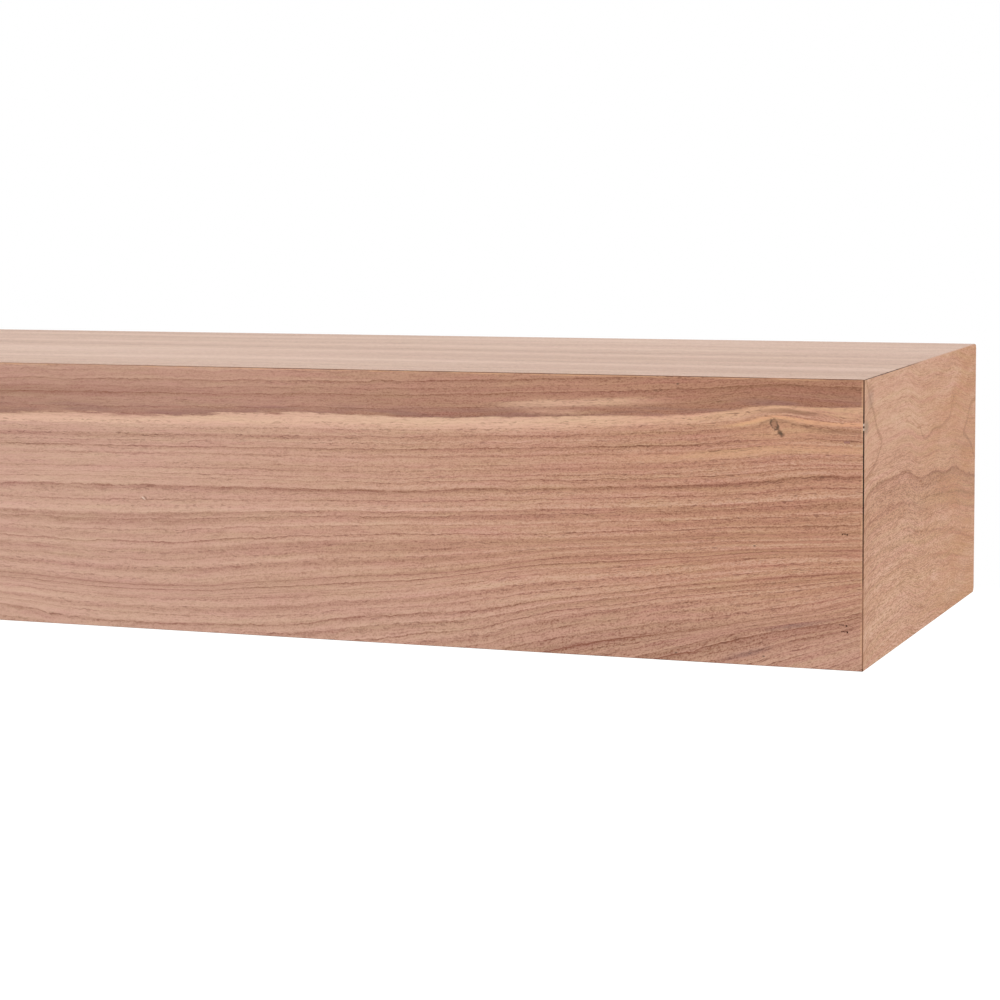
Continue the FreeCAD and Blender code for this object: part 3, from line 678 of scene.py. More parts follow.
def make_front_walnut():
    """The front board: a dark band and a sapwood streak along its top, a pin knot and painted edge
    highlights.
    """
    material, shader, tree = new_material("walnut_front")
    x, y, z = tree.place()
    down = HALF_HEIGHT_MM - z
    plank = Plank(tree, x, -HALF_LENGTH_MM, 2 * HALF_LENGTH_MM, down)
    growth = plank.growth(FRONT_GRAIN)
    around_knot = mark(x, down, KNOT_MIDDLE, 22, 10).fall(0, 1)
    growth = growth - (down - KNOT_MIDDLE[1]) * around_knot * 0.5
    figure = tree.use(FIGURE, Along=x, Growth=growth, Across=y, Spacing=3.6, Seed=1)
    band = growth.fall(24, 30)
    coarser = x.rise(-60, 430)
    contrast = (0.72 + coarser * 0.38) * (1 - band * 0.25)
    tone = front_tone(tree, growth, band, x, y, down)
    tone = add_figure(tone, figure, contrast, grit=0.9 + coarser * 1.1, line=0.6 - band * 0.25)
    warm = x.rise(0, 450) * (1 - down.rise(90, 135) * 0.6)
    base = tree.mix(warm, HEARTWOOD, HEARTWOOD_WARM)
    colour = wood_tone(tree, tone, HEARTWOOD_DARK, base, HEARTWOOD_PALE)
    amber = growth.hump(49, 4) * x.rise(300, 400)
    colour = tree.mix(amber * 0.5, colour, AMBER)
    slate = growth.hump(168.5, 2.4) * x.hump(399, 18)
    slate = slate.at_least(growth.hump(160.5, 2.4) * x.hump(425, 24)) * (0.4 + figure["Pores"])
    colour = tree.mix(slate * 0.85, colour, SLATE)
    colour = add_sapwood(tree, colour, plank, x, y, figure)
    colour = add_knot(tree, colour, x, y, down)
    colour = add_small_marks(tree, colour, x, y, down)
    # Painted highlight: a paler amber line along the top edge and the ends, where light catches the eased
    # corners, broken up by noise
    edge_highlight = down.fall(0.7, 1.2).at_least((HALF_LENGTH_MM - x.size()).fall(1.1, 1.7))
    rubbed = tree.noise(x / 18, y / 6, z / 18, detail=3).rise(-0.12, 0.12)
    colour = tree.mix(edge_highlight * rubbed * 0.55, colour, AMBER)
    pores = 0.42 + growth.hump(38, 10) * x.fall(150, 330) * 0.3 + x.rise(150, 430) * 0.25
    finish_walnut(shader, tree, colour, figure, pores, sheen=0.14)
    return material


def end_lines(tree, plank, growth, along, x):
    """The dark lines of an end board: those of its growth, and the clear stretches of its rings."""
    down = plank.down
    lines = drawn_lines(tree, growth, along, x, END_LINES, detail=2, faded=0.5, width=0.7)
    lines = lines * (1 - growth.fall(48, 54) * (1 - along.hump(157, 70)) * 0.75)
    wander = tree.noise(along / 14, down / 9, x / 9, detail=2) * 1.8
    for start, end, width, points in END_RINGS:
        ring = (down - plank.drawn(points) + wander).size().fall(width * 0.3, width)
        stretch = along.rise(start - 1, start + 1) * along.fall(end - 1, end + 1)
        lines = lines.at_least(ring * stretch * 0.7)
    return lines


def make_end_walnut(name, seed, turned):
    """An end board: its grain runs from front to back, or the other way if turned."""
    material, shader, tree = new_material(name)
    x, y, z = tree.place()
    along = y * -1 if turned else y + DEPTH_MM
    down = HALF_HEIGHT_MM - z
    plank = Plank(tree, along, 0, DEPTH_MM, down)
    growth = plank.growth(END_GRAIN)
    growth = growth + (x.size() - HALF_LENGTH_MM) * 0.6
    fibres = down - plank.drawn(END_BEND) * 0.8
    figure = tree.use(FIGURE, Along=along * 0.3, Growth=fibres + 400, Across=x, Spacing=1000, Seed=seed)
    tone = tone_by_growth(tree, growth, END_TONE) - end_lines(tree, plank, growth, along, x) * 0.6
    tone = tone + mark(along, down, PALE_SPOT, 10, 5).fall(0.3, 1) * 0.2
    darker_rear = along.rise(150, 220) * down.hump(52, 24)
    wide_bands = tree.noise(along / 60, growth / 8, x / 40, detail=2)
    tone = tone - darker_rear * 0.08 + wide_bands * 0.55
    lower = growth.rise(50, 64)
    grained = lower * along.fall(120, 240)
    contrast = 0.85 + lower * 0.25
    tone = add_figure(tone, figure, contrast, grit=1.6 + grained * 1.2, line=0.3, palest=0.2)
    base = tree.mix(along.rise(90, 230), END_HEARTWOOD, END_TAN)
    blush = tree.noise(along / 60, down / 16, x / 40, detail=3).rise(-0.14, 0.14) * 0.35
    blush = blush.at_least(along.fall(50, 170) * down.fall(40, 90) * 0.35)
    base = tree.mix(blush, base, END_ROSE)
    colour = wood_tone(tree, tone, END_DARK, base, HEARTWOOD_PALE)
    stain = mark(along, down, STAIN_PLACE, 7, 5).fall(0.2, 1)
    stain = stain + mark(along, down, STAIN_CORNER, 9, 9).fall(0.2, 1) * 0.5
    colour = tree.mix(stain * (0.65 + figure["Fibre"] * 2), colour, STAIN)
    finish_walnut(shader, tree, colour, figure, 0.6 + grained * 0.5, sheen=0.05, pore=END_DARK)
    return material


def make_long_walnut(name, seed):
    """The top or bottom board: nearly straight grain along the shelf."""
    material, shader, tree = new_material(name)
    x, y, z = tree.place()
    wave = tree.noise(x / 320 + seed, y / 90, z / 90, detail=1) * 40
    growth = y + wave + z * 0.4
    figure = tree.use(FIGURE, Along=x, Growth=growth, Across=z, Spacing=9, Seed=seed)
    band = tree.noise(x / 700 + seed, growth / 22, z / 40, detail=2)
    streak = y.hump(-165, 50) * x.fall(-40, 330) * 0.3
    tone = add_figure(band * 1.4 + streak, figure, 1.1)
    colour = wood_tone(tree, tone, LONG_DARK, LONG_HEARTWOOD, LONG_PALE)
    finish_walnut(shader, tree, colour, figure, 0.5, sheen=0.16)
    return material


# Dark, plain and pale tones of the woods inside the box
POPLAR = (linear(170, 150, 108), linear(211, 194, 156), linear(230, 218, 186))
BIRCH = (linear(160, 120, 78), linear(206, 172, 124), linear(226, 198, 156))


def make_plain_wood(name, dark, base, pale, along_axis, pores):
    """A plain pale wood inside the box, with its grain along one of the three axes."""
    material, shader, tree = new_material(name)
    place = tree.place()
    along = place[along_axis]
    level, across = [place[i] for i in range(3) if i != along_axis]
    growth = level * 0.8 + across * 0.6 + tree.noise(along / 180, level / 60, across / 60, detail=1) * 20
    figure = tree.use(FIGURE, Along=along, Growth=growth, Across=across, Spacing=6, Seed=9)
    colour = wood_tone(tree, add_figure(figure["Streak"] * 0.3, figure, 0.45), dark, base, pale)
    colour = tree.mix(figure["Pores"] * pores, colour, dark)
    normal = tree.bump(figure["Fibre"] - figure["Pores"], 0.3, 0.1 * MM)
    finish_shader(shader, tree, Base_Color=colour, Roughness=0.62 + figure["Fibre"] * 0.2, Normal=normal,
                  Specular_IOR_Level=0.4)
    return material


# Metals, glue and filler

# Bright and dull tones of the bare metals
BRASS = (linear(206, 164, 88), linear(180, 136, 70))
OXIDE = (linear(60, 60, 64), linear(86, 82, 80))
WIRE = (linear(112, 108, 104), linear(84, 72, 62))


def make_coat_group():
    """A powder coat's faint orange peel, its cloudy gloss, and scuffs along Y."""
    group, tree, (x, y, z), give = new_group("powder_coat", {"X": 0, "Y": 0, "Z": 0},
                                             ("Peel", "Cloud", "Scuff"))
    peel = tree.noise(x / 0.9, y / 0.9, z / 0.9, detail=2)
    cloud = tree.noise(x / 35, y / 35, z / 35, detail=4)
    scuff = tree.noise(x / 1.3, y / 55, z / 1.3, detail=3).rise(0.06, 0.26)
    give(Peel=peel, Cloud=cloud, Scuff=scuff)
    return group


COAT = make_coat_group()
COAT_BLACK = linear(33, 33, 35)
COAT_GREY = linear(58, 57, 57)
RUBBED = linear(104, 101, 98)


def make_black_coat(name, rubbed, worn):
    """Satin black powder coat. Worn says where it is rubbed through, and rubbed how far scuffs show."""
    material, shader, tree = new_material(name)
    x, y, z = tree.place()
    coat = tree.use(COAT, X=x, Y=y, Z=z)
    colour = tree.mix(coat["Cloud"].rise(-0.3, 0.5), COAT_BLACK, COAT_GREY)
    wear = (coat["Scuff"] * rubbed).at_least(worn(tree, x, y, z))
    colour = tree.mix(wear, colour, RUBBED)
    roughness = 0.46 + coat["Cloud"] * 0.12 + coat["Peel"] * 0.2 - wear * 0.1
    finish_shader(shader, tree, Base_Color=colour, Roughness=roughness,
                  Normal=tree.bump(coat["Peel"], 0.25, 0.15 * MM))
    return material


def plate_edges(tree, x, y, z):
    """Where the plate's outer edges have lost some of their coat."""
    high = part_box("wall_plate")[1] / MM
    edge = x.size().rise(high.x - 1.2, high.x - 0.2).at_least(z.size().rise(high.z - 1.2, high.z - 0.2))
    return edge * tree.noise(x / 5, y / 5, z / 5, detail=3).rise(0, 0.25) * 0.8


def rod_tips(tree, x, y, z):
    """Where the box's channels have rubbed the rods' front ends."""
    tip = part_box("left_inner_rod")[0].y / MM
    return (y - tip).fall(0.3, 4) * tree.noise(x / 4, y / 3, z / 4, detail=3).rise(-0.1, 0.2) * 0.7


def make_turned_metal(name, base, tint, roughness, metallic):
    """Bare metal with fine turning or drawing marks and a dull, uneven film."""
    material, shader, tree = new_material(name)
    x, y, z = tree.place()
    film = tree.noise(x / 3, y / 3, z / 3, detail=4)
    marks = tree.noise(x / 2, y / 2, z / 0.25, detail=2)
    colour = tree.mix(film.rise(-0.2, 0.2), base, tint)
    finish_shader(shader, tree, Base_Color=colour, Roughness=roughness + film * 0.3 + marks * 0.15,
                  Metallic=metallic, Normal=tree.bump(marks, 0.3, 0.05 * MM))
    return material


# The first colour is painted shade for the inside of the mitres' open gaps and nicks; the rest are glue
GAP_SHADE_BLACK = linear(30, 20, 15)
GLUE_BROWN = linear(92, 60, 42)
GLUE_TAN = linear(160, 116, 90)
GLUE_PALE = linear(204, 160, 134)
PUTTY_DARK = linear(140, 94, 84)
PUTTY_PALE = linear(178, 128, 110)
# Heights above the middle of the box of two pale chips in the right upright mitre, and of a nick in
# both upright mitres whose shade is painted nearly black
CHIP_HEIGHTS = (48.5, 46.3)
NICK_HEIGHT = -13.8


def make_glue_and_gap_shade():
    """Old glue in the mitres, tan where they were sanded shut, and painted shade, nearly black, where they
    gape.
    """
    material, shader, tree = new_material("mitre_glue_and_gap_shade")
    x, y, z = tree.place()
    along_front = (y + DEPTH_MM).fall(1.5, 2.5)
    upright = along_front * z.size().fall(HALF_HEIGHT_MM - 1.6, HALF_HEIGHT_MM - 0.9)
    height = z + tree.noise(x / 9, y / 9, z / 9, detail=3) * 14
    # Painted shade, nearly black, where the upright mitres gape and at their nick
    gap_shade = upright * height.rise(-26, 14) * height.fall(57, 63)
    gap_shade = gap_shade.at_least(upright * z.hump(NICK_HEIGHT, 1.2))
    closed = tree.noise(x / 24, y / 24, z / 24, detail=4).rise(0.02, 0.2)
    left_part = (1 - upright) * along_front * x.fall(-20, 180) * 0.8
    along_top_end = (1 - along_front) * z.rise(HALF_HEIGHT_MM - 2, HALF_HEIGHT_MM - 1)
    # More painted shade along the front part of the mitres between the top and the ends
    gap_shade = gap_shade.at_least(along_top_end * y.fall(-190, -120) * 0.7)
    low_part = upright * z.fall(-50, -20) * 0.6
    colour = tree.mix(closed.at_least(left_part).at_least(low_part), GLUE_BROWN, GLUE_TAN)
    flush = along_top_end * y.rise(-190, -120)
    colour = tree.mix(flush, colour, GLUE_PALE)
    colour = tree.mix(gap_shade, colour, GAP_SHADE_BLACK)
    for chip_height in CHIP_HEIGHTS:
        chip = upright * (z - chip_height).size().fall(0.3, 0.8) * x.rise(0, 1) * 0.7
        colour = tree.mix(chip, colour, CHIP)
    grain = tree.noise(x / 0.6, y / 0.6, z / 0.6, detail=2)
    finish_shader(shader, tree, Base_Color=colour, Roughness=0.65 + grain * 0.4, Specular_IOR_Level=0.2,
                  Normal=tree.bump(grain, 0.5, 0.1 * MM))
    return material


def make_putty():
    """Wood filler, a little more purple than the walnut round it."""
    material, shader, tree = new_material("brad_putty")
    x, y, z = tree.place()
    grain = tree.noise(x / 0.5, y / 0.5, z / 0.35, detail=3)
    colour = tree.mix(grain.rise(-0.2, 0.2), PUTTY_DARK, PUTTY_PALE)
    finish_shader(shader, tree, Base_Color=colour, Roughness=0.75 + grain * 0.3,
                  Normal=tree.bump(grain, 0.5, 0.1 * MM))
    return material


# Modelling by hand

def deselect_all():
    bpy.ops.object.select_all(action="DESELECT")


@contextlib.contextmanager
def editing(piece, kind, wanted):
    """Edit mode on one piece, with those of its vertices, edges or faces selected that pass a test."""
    make_active(piece)
    mesh = piece.data
    parts = {"VERT": mesh.vertices, "EDGE": mesh.edges, "FACE": mesh.polygons}
    for part in parts.values():
        part.foreach_set("select", [False] * len(part))
    bpy.ops.object.mode_set(mode="EDIT")
    bpy.ops.mesh.select_mode(type=kind)
    bpy.ops.object.mode_set(mode="OBJECT")
    for part in parts[kind]:
        part.select = wanted(part)
    bpy.ops.object.mode_set(mode="EDIT")
    yield
    bpy.ops.object.mode_set(mode="OBJECT")


def make_active(piece):
    deselect_all()
    piece.select_set(True)
    bpy.context.view_layer.objects.active = piece


def apply_place(piece):
    make_active(piece)
    bpy.ops.object.transform_apply(location=True, rotation=True, scale=True)


def add_block(name, low, high, turned=None):
    """A block between two corners, turned about its middle if a rotation is given."""
    deselect_all()
    bpy.ops.mesh.primitive_cube_add(size=1, location=(low + high) / 2)
    block = bpy.context.object
    block.name = name
    block.scale = high - low
    if turned:
        block.rotation_euler = turned
    apply_place(block)
    return block


def add_rod(name, middle, radius, length, axis, sides=48):
    """A round bar along Y or Z."""
    deselect_all()
    turned = (math.radians(90), 0, 0) if axis == "Y" else (0, 0, 0)
    bpy.ops.mesh.primitive_cylinder_add(vertices=sides, radius=radius, depth=length, location=middle,
                                        rotation=turned)
    rod = bpy.context.object
    rod.name = name
    apply_place(rod)
    return rod


def copy_along(piece, name, shift):
    """A copy of a piece with its own mesh, moved by some distance."""
    twin = piece.copy()
    twin.data = piece.data.copy()
    twin.name = name
    bpy.context.scene.collection.objects.link(twin)
    twin.location = shift
    apply_place(twin)
    return twin


def ends_of(mesh, edge):
    return [mesh.vertices[i].co for i in edge.vertices]


def roughen(piece, cuts, amount, seed, wanted=lambda edge: True):
    """Divides some edges of a piece and jogs all its points a little."""
    with editing(piece, "EDGE", wanted):
        bpy.ops.mesh.subdivide(number_cuts=cuts)
    with editing(piece, "VERT", lambda point: True):
        bpy.ops.transform.vertex_random(offset=amount, uniform=0, normal=0, seed=seed)


def cut_away(piece, cutter):
    """Cuts one shape out of a piece and throws the cutter away."""
    modifier = piece.modifiers.new("cut", "BOOLEAN")
    modifier.operation = "DIFFERENCE"
    modifier.solver = "EXACT"
    modifier.object = cutter
    make_active(piece)
    bpy.ops.object.modifier_apply(modifier=modifier.name)
    bpy.data.objects.remove(cutter)


def finish_piece(piece, material, body, slot, *nodes, smooth_below=FLAT_BELOW):
    """Gives a finished piece its material and its body, and hides the nodes that it stands for."""
    make_active(piece)
    bpy.ops.object.shade_smooth_by_angle(angle=math.radians(smooth_below))
    piece.data.materials.clear()
    piece.data.materials.append(material)
    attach(piece, body)
    if nodes:
        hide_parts(*nodes)


# Boards

def reach(direction):
    """How far the box reaches from the origin along one of its outward directions."""
    return max(BOX_LOW.dot(direction), BOX_HIGH.dot(direction))


def ease_arris(piece, out, other, ease):
    """Takes the sharp corner off the edge of a board's outside face that meets another board."""
    def on_arris(edge):
        return all(
            co.dot(out) > reach(out) - ON_FACE and co.dot(other) > reach(other) - ON_CORNER
            for co in ends_of(piece.data, edge)
        )
    with editing(piece, "EDGE", on_arris):
        bpy.ops.mesh.bevel(offset=ease, segments=1)


def round_rear_edges(piece):
    """Rounds the box's rear top and bottom edges where they cross a piece, by a few flat cuts each."""
    for side in (1, -1):
        centre = Vector((0, -REAR_RADIUS, side * (HEIGHT / 2 - REAR_RADIUS)))
        for i in range(REAR_FACETS):
            angle = math.radians(90) * (i + 0.5) / REAR_FACETS
            out = Vector((0, math.cos(angle), side * math.sin(angle)))
            with editing(piece, "FACE", lambda face: True):
                bpy.ops.mesh.bisect(plane_co=centre + out * REAR_RADIUS, plane_no=out, use_fill=True,
                                    clear_outer=True, threshold=ON_CUT)


def mitre_axes(pair):
    """The directions along a mitre, square across it and out through its corner, as columns."""
    first, second = [OUTWARD[board] for board in pair]
    axes = Matrix((first.cross(second), (first - second).normalized(), (first + second).normalized()))
    axes.transpose()
    if axes.determinant() < 0:
        axes.col[0] *= -1
    return axes


def cut_groove(piece, pair):
    """Cuts the groove for a board's half of a spline, which lies square across the mitre of two boards."""
    low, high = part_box(f"{pair[0]}_{pair[1]}_spline")
    width = min(high - low) * math.sqrt(2) - SPLINE
    length = max(high - low)
    half = Vector((length, width, SPLINE)) / 2 + Vector((1, 1, 1)) * FIT
    middle = (low + high) / 2
    cut_away(piece, add_block("groove", middle - half, middle + half, mitre_axes(pair).to_euler()))


def cut_brad_slot(piece, brad):
    """Cuts the slot that holds a brad, from its punched head to its point."""
    low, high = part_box(brad)
    fit = Vector((FIT, FIT, FIT))
    cut_away(piece, add_block("slot", low - fit, high + fit))


def brad_mouth(brad, dent):
    """The middle of a dent over a brad, on the front face, and its half size."""
    right, above, width, height, depth = [size * MM for size in dent]
    low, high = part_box(brad)
    middle = Vector(((low.x + high.x) / 2 + right, BOX_LOW.y, (low.z + high.z) / 2 + above))
    return middle, Vector((width / 2, depth, height / 2))


def punch_dents(piece, brad):
    """Punches the torn dents over a brad into the front board."""
    dents = FILLED_DENTS if brad in FILLED else DENTS
    if brad == TWICE_DRIVEN:
        dents = TWICE_DENTS
    for i, dent in enumerate(dents):
        middle, half = brad_mouth(brad, dent)
        punch = add_block("punch", middle - half, middle + half)
        roughen(punch, 2, DENT_UNEVEN, i)
        cut_away(piece, punch)


def cut_key_hole(piece, screw):
    """Drills the hole that a key passes to reach a locking screw, and breaks its rim."""
    low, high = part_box(screw)
    place = Vector(((low.x + high.x) / 2, (low.y + high.y) / 2, BOX_LOW.z))
    cut_away(piece, add_rod("drill", place, KEY_HOLE_RADIUS, 3 * BOARD, "Z"))
    def on_rim(edge):
        return all((co - place).length < KEY_HOLE_RADIUS + ON_RIM for co in ends_of(piece.data, edge))
    with editing(piece, "EDGE", on_rim):
        bpy.ops.mesh.bevel(offset=KEY_HOLE_RIM, segments=2)


def make_board(board):
    """A walnut board: its inside face is drawn in to mitre its edges, and their sharp corners are eased."""
    node = f"{board}_board"
    piece = add_block(f"walnut_{node}", *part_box(node))
    out = OUTWARD[board]
    drawn_in = Vector(((LENGTH - 2 * BOARD) / LENGTH, (DEPTH - BOARD) / DEPTH,
                       (HEIGHT - 2 * BOARD) / HEIGHT))
    factors = [1 if abs(out[i]) > 0.5 else drawn_in[i] for i in range(3)]
    with editing(piece, "FACE", lambda face: face.normal.dot(out) < -0.9):
        bpy.ops.transform.resize(value=factors, center_override=(0, 0, 0))
    for pair, ease in EASED.items():
        if board in pair:
            ease_arris(piece, out, OUTWARD[pair[1 - pair.index(board)]], ease)
    round_rear_edges(piece)
    for pair in SPLINED:
        if board in pair:
            cut_groove(piece, pair)
    for brad in BRADS:
        if board == "front" or brad.startswith(board):
            cut_brad_slot(piece, brad)
        if board == "front":
            punch_dents(piece, brad)
    if board == "bottom":
        for screw in LOCKING_SCREWS:
            cut_key_hole(piece, screw)
    return piece


def make_glue_line(pair, ease, seed):
    """The glue in the mouth of a mitre, between two eased corners: a thin bar with an uneven skin."""
    # The bar's material paints it nearly black as shade where the mitre gapes
    first, second = [OUTWARD[board] for board in pair]
    axes = mitre_axes(pair)
    axis = max(range(3), key=lambda i: abs(axes.col[0][i]))
    start = BOX_LOW[axis] + ease
    end = BOX_HIGH[axis] - (REAR_RADIUS if axis == 1 else ease)
    corner = first * reach(first) + second * reach(second)
    corner[axis] = (start + end) / 2
    chamfer = ease * math.sqrt(0.5)
    half = Vector((end - start, 2 * chamfer, GLUE_BODY)) / 2
    middle = corner - axes.col[2] * (chamfer + GLUE_DEPTH + half.z)
    bar = add_block(f"glue_{pair[0]}_{pair[1]}", middle - half, middle + half, axes.to_euler())
    def runs_along(edge):
        one, other = ends_of(bar.data, edge)
        return abs((one - other)[axis]) > 2 * GLUE_BODY
    roughen(bar, round((end - start) / GLUE_STEP), GLUE_UNEVEN, seed, runs_along)
    return bar


def make_putty_plug(brad, seed):
    """Filler pressed into the mouth over a brad, nearly flush with the face."""
    middle, half = brad_mouth(brad, FILLED_DENTS[0])
    overlap = Vector((PUTTY_OVERLAP, 0, PUTTY_OVERLAP))
    front = Vector((0, half.y + PUTTY_DEPTH, 0))
    putty_plug = add_block(f"{brad}_putty", middle - half - overlap + front, middle + half + overlap)
    roughen(putty_plug, 3, PUTTY_UNEVEN, seed)
    return putty_plug


# Bracket

def break_sharp_edges(piece, amount):
    """Takes the sharpness off all of a piece's sharp edges."""
    with editing(piece, "EDGE", lambda edge: False):
        bpy.ops.mesh.edges_select_sharp(sharpness=math.radians(SHARP_ABOVE))
        bpy.ops.mesh.bevel(offset=amount, segments=2)


def make_wall_plate():
    """The bracket's plate: round corners, holes for wall screws and rods, and sharp edges broken."""
    plate = add_block("bracket_plate", *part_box("wall_plate"))
    def at_corner(edge):
        one, other = ends_of(plate.data, edge)
        return abs(one.y - other.y) > MM
    with editing(plate, "EDGE", at_corner):
        bpy.ops.mesh.bevel(offset=PLATE_CORNER, segments=PLATE_FACETS)
    mounts = frame["record"]["mounts"]
    pattern = next(mount["dims"] for mount in mounts if mount["kind"] == "bolt_pattern")
    for across in (-0.5, 0.5):
        for up in (-0.5, 0.5):
            place = Vector((across * pattern["spacing_x_mm"], 0, up * pattern["spacing_y_mm"])) * MM
            cut_away(plate, add_rod("drill", place, pattern["hole_r_mm"] * MM, BOARD, "Y"))
    for rod in RODS:
        low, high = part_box(rod)
        place = Vector(((low.x + high.x) / 2, 0, 0))
        cut_away(plate, add_rod("drill", place, (high.x - low.x) / 2 + SEAT_FIT, BOARD, "Y"))
    break_sharp_edges(plate, PLATE_BREAK)
    return plate


def make_rod(node):
    """A bracket rod with a chamfered front end that finds its channel."""
    low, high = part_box(node)
    rod = add_rod("first_rod", (low + high) / 2, (high.x - low.x) / 2, high.y - low.y, "Y")
    def at_front(edge):
        return all(co.y < low.y + ON_FACE for co in ends_of(rod.data, edge))
    with editing(rod, "EDGE", at_front):
        bpy.ops.mesh.bevel(offset=ROD_LEAD_IN, segments=1)
    break_sharp_edges(rod, ROD_BREAK)
    return rod


def make_weld(node):
    """The bead that welds a rod to the front of the plate, laid in overlapping ripples."""
    low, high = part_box(node)
    radius = (high.x - low.x) / 2 + WELD / 3
    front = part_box("wall_plate")[0].y
    middle = Vector(((low.x + high.x) / 2, front + WELD_INSET, 0))
    deselect_all()
    bpy.ops.mesh.primitive_torus_add(major_radius=radius, minor_radius=WELD, location=middle,
                                     rotation=(math.radians(90), 0, 0), major_segments=WELD_RIPPLES * 3,
                                     minor_segments=12)
    bead = bpy.context.object
    bead.name = "first_weld"
    apply_place(bead)
    def in_valley(point):
        away = point.co - middle
        turns = math.atan2(away.z, away.x) / math.tau * WELD_RIPPLES
        return abs(turns - round(turns)) < WELD_VALLEY_SHARE
    with editing(bead, "VERT", in_valley):
        bpy.ops.transform.shrink_fatten(value=-WELD_VALLEY)
    with editing(bead, "VERT", lambda point: True):
        bpy.ops.transform.vertex_random(offset=WELD_UNEVEN, uniform=0, normal=0, seed=1)
    return bead


# Stage, light and camera

CAMERA_PLACE = (0.770, -1.507, 0.176)
CAMERA_LENS = 98
# Turns of the camera in degrees: to the left of straight at the wall, down, and about its line of sight
CAMERA_HEADING = 21.70
CAMERA_TILT = 7.18
CAMERA_ROLL = -0.64
# Soft lamps: name, place, width and power
SOFTBOXES = [("key_softbox", (-1.2, -2.0, 2.0), 2.0, 18), ("right_softbox", (2.4, -1.0, 0.9), 2.0, 11)]
# Strength of the light from all round, and of the white that the camera and reflections see
AMBIENT = 0.86
SURROUND = 1
FLOOR_WIDTH = 14
FLOOR_HEIGHT = -1.2
FLOOR_GLOW = 0.35
FLOOR_GREY = (0.9, 0.9, 0.9, 1)
WHITE = (1, 1, 1, 1)


def make_camera():
    """A long lens to the right of the shelf, a little above it, that crops its left end off."""
    data = bpy.data.cameras.new("camera")
    data.lens = CAMERA_LENS
    camera = bpy.data.objects.new("camera", data)
    bpy.context.scene.collection.objects.link(camera)
    heading = Matrix.Rotation(math.radians(CAMERA_HEADING), 4, "Z")
    tilt = Matrix.Rotation(math.radians(90 - CAMERA_TILT), 4, "X")
    roll = Matrix.Rotation(math.radians(CAMERA_ROLL), 4, "Z")
    camera.matrix_world = Matrix.Translation(CAMERA_PLACE) @ heading @ tilt @ roll
    bpy.context.scene.camera = camera


def add_softbox(name, place, size, power):
    """A square soft lamp that faces the middle of the shelf."""
    data = bpy.data.lights.new(name, "AREA")
    data.size = size
    data.energy = power
    lamp = bpy.data.objects.new(name, data)
    bpy.context.scene.collection.objects.link(lamp)
    lamp.location = place
    middle = Vector((0, -DEPTH / 2, 0))
    lamp.rotation_euler = (middle - Vector(place)).to_track_quat("-Z", "Y").to_euler()


def make_world():
    """Even white light all round, and plain white behind the object."""
    world = bpy.data.worlds.new("studio")
    bpy.context.scene.world = world
    world.use_nodes = True
    tree = Tree(world.node_tree)
    background = world.node_tree.nodes["Background"]
    background.inputs["Color"].default_value = WHITE
    path = tree.node("ShaderNodeLightPath")
    seen = [Field(world.node_tree, path.outputs[name])
            for name in ("Is Camera Ray", "Is Glossy Ray", "Is Transmission Ray")]
    shown = seen[0].at_least(seen[1]).at_least(seen[2])
    strength = AMBIENT + shown * (SURROUND - AMBIENT)
    plug(world.node_tree, strength, background.inputs["Strength"])


def make_floor():
    """A pale floor well below the shelf, which can't be seen from underneath."""
    deselect_all()
    bpy.ops.mesh.primitive_plane_add(size=FLOOR_WIDTH, location=(0, 0, FLOOR_HEIGHT))
    floor = bpy.context.object
    floor.name = "floor"
    apply_place(floor)
    material, shader, tree = new_material("pale_floor")
    links = material.node_tree.links
    finish_shader(shader, tree, Base_Color=FLOOR_GREY, Roughness=0.9, Specular_IOR_Level=0.0)
    path = tree.node("ShaderNodeLightPath")
    glow = tree.node("ShaderNodeEmission")
    seen = Field(material.node_tree, path.outputs["Is Camera Ray"])
    plug(material.node_tree, seen * FLOOR_GLOW, glow.inputs["Strength"])
    lit = tree.node("ShaderNodeAddShader")
    links.new(shader.outputs[0], lit.inputs[0])
    links.new(glow.outputs[0], lit.inputs[1])
    clear = tree.node("ShaderNodeBsdfTransparent")
    side = tree.node("ShaderNodeNewGeometry")
    shown = tree.node("ShaderNodeMixShader")
    links.new(side.outputs["Backfacing"], shown.inputs[0])
    links.new(lit.outputs[0], shown.inputs[1])
    links.new(clear.outputs[0], shown.inputs[2])
    links.new(shown.outputs[0], material.node_tree.nodes["Material Output"].inputs[0])
    floor.data.materials.append(material)


make_camera()
make_world()
make_floor()
for softbox in SOFTBOXES:
    add_softbox(*softbox)
bpy.context.scene.view_settings.view_transform = "Standard"

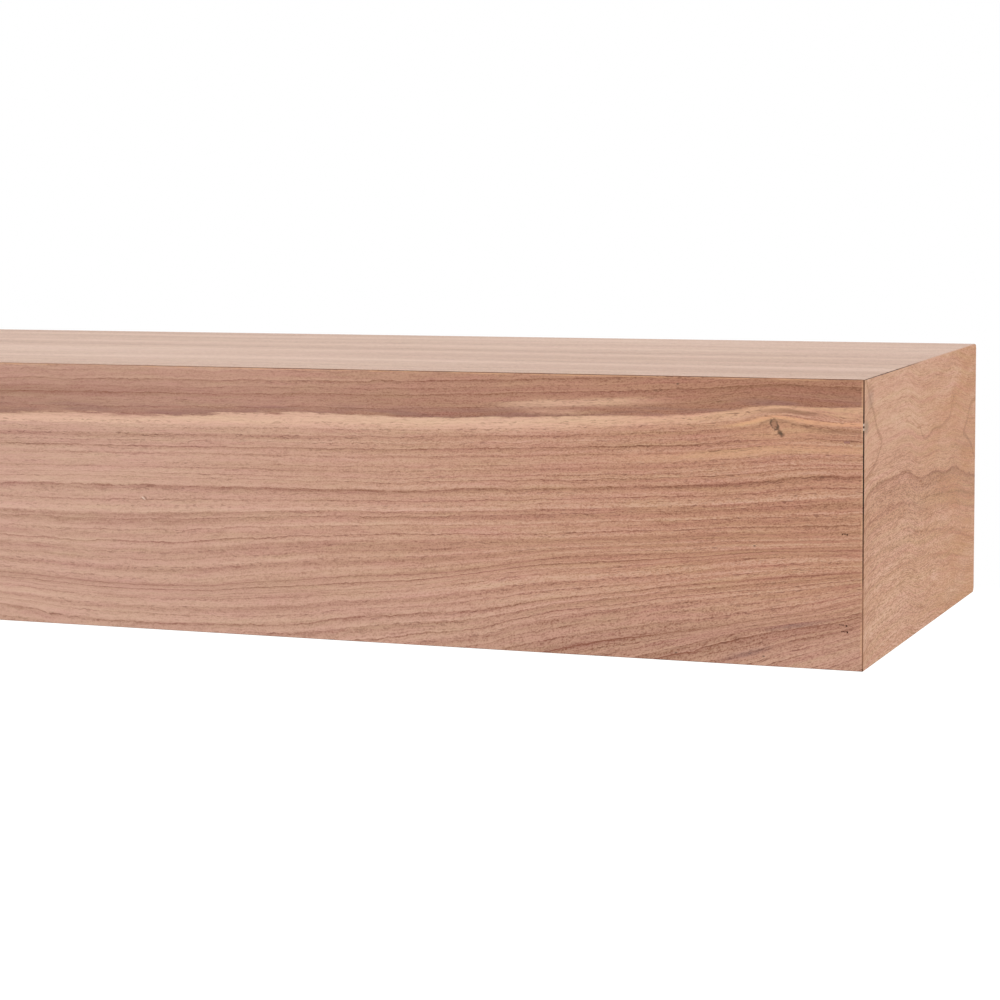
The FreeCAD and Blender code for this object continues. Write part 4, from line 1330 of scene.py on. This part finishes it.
WALNUTS = {
    "front": make_front_walnut(),
    "top": make_long_walnut("walnut_top", seed=3),
    "bottom": make_long_walnut("walnut_bottom", seed=4),
    "left_end": make_end_walnut("walnut_left_end", seed=5, turned=True),
    "right_end": make_end_walnut("walnut_right_end", seed=6, turned=False),
}
for board, walnut in WALNUTS.items():
    finish_piece(make_board(board), walnut, "shelf", "walnut", f"{board}_board")
# The mitres' glue, with painted shade where they gape
glue = make_glue_and_gap_shade()
for i, (pair, ease) in enumerate(EASED.items()):
    finish_piece(make_glue_line(pair, ease, i), glue, "shelf", "walnut", smooth_below=SMOOTH_BELOW)
putty = make_putty()
for i, brad in enumerate(FILLED):
    finish_piece(make_putty_plug(brad, i), putty, "shelf", "walnut", smooth_below=SMOOTH_BELOW)

plate_coat = make_black_coat("black_coat_plate", rubbed=0.2, worn=plate_edges)
rod_coat = make_black_coat("black_coat_rod", rubbed=0.6, worn=rod_tips)
finish_piece(make_wall_plate(), plate_coat, "bracket", "black_steel", "wall_plate",
             smooth_below=ROUND_BELOW)
first_rod = make_rod(RODS[0])
first_weld = make_weld(RODS[0])
for node in RODS:
    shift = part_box(node)[0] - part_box(RODS[0])[0]
    rod = copy_along(first_rod, f"bracket_{node}", shift)
    weld = copy_along(first_weld, f"weld_{node}", shift)
    finish_piece(rod, rod_coat, "bracket", "black_steel", node, smooth_below=ROUND_BELOW)
    finish_piece(weld, plate_coat, "bracket", "black_steel", smooth_below=SMOOTH_BELOW)
bpy.data.objects.remove(first_rod)
bpy.data.objects.remove(first_weld)

INNER_MATERIALS = [
    (make_plain_wood("poplar", *POPLAR, along_axis=1, pores=0.2), STRIPS),
    (make_plain_wood("birch_plywood", *BIRCH, along_axis=0, pores=0.4), SPLINES),
    (make_turned_metal("turned_brass", *BRASS, roughness=0.3, metallic=1.0), INSERTS),
    (make_turned_metal("black_oxide", *OXIDE, roughness=0.42, metallic=0.9), LOCKING_SCREWS),
    (make_turned_metal("brad_wire", *WIRE, roughness=0.45, metallic=0.9), BRADS),
]
for material, nodes in INNER_MATERIALS:
    for node in nodes:
        for slot in frame["nodes"][node].material_slots:
            slot.material = material
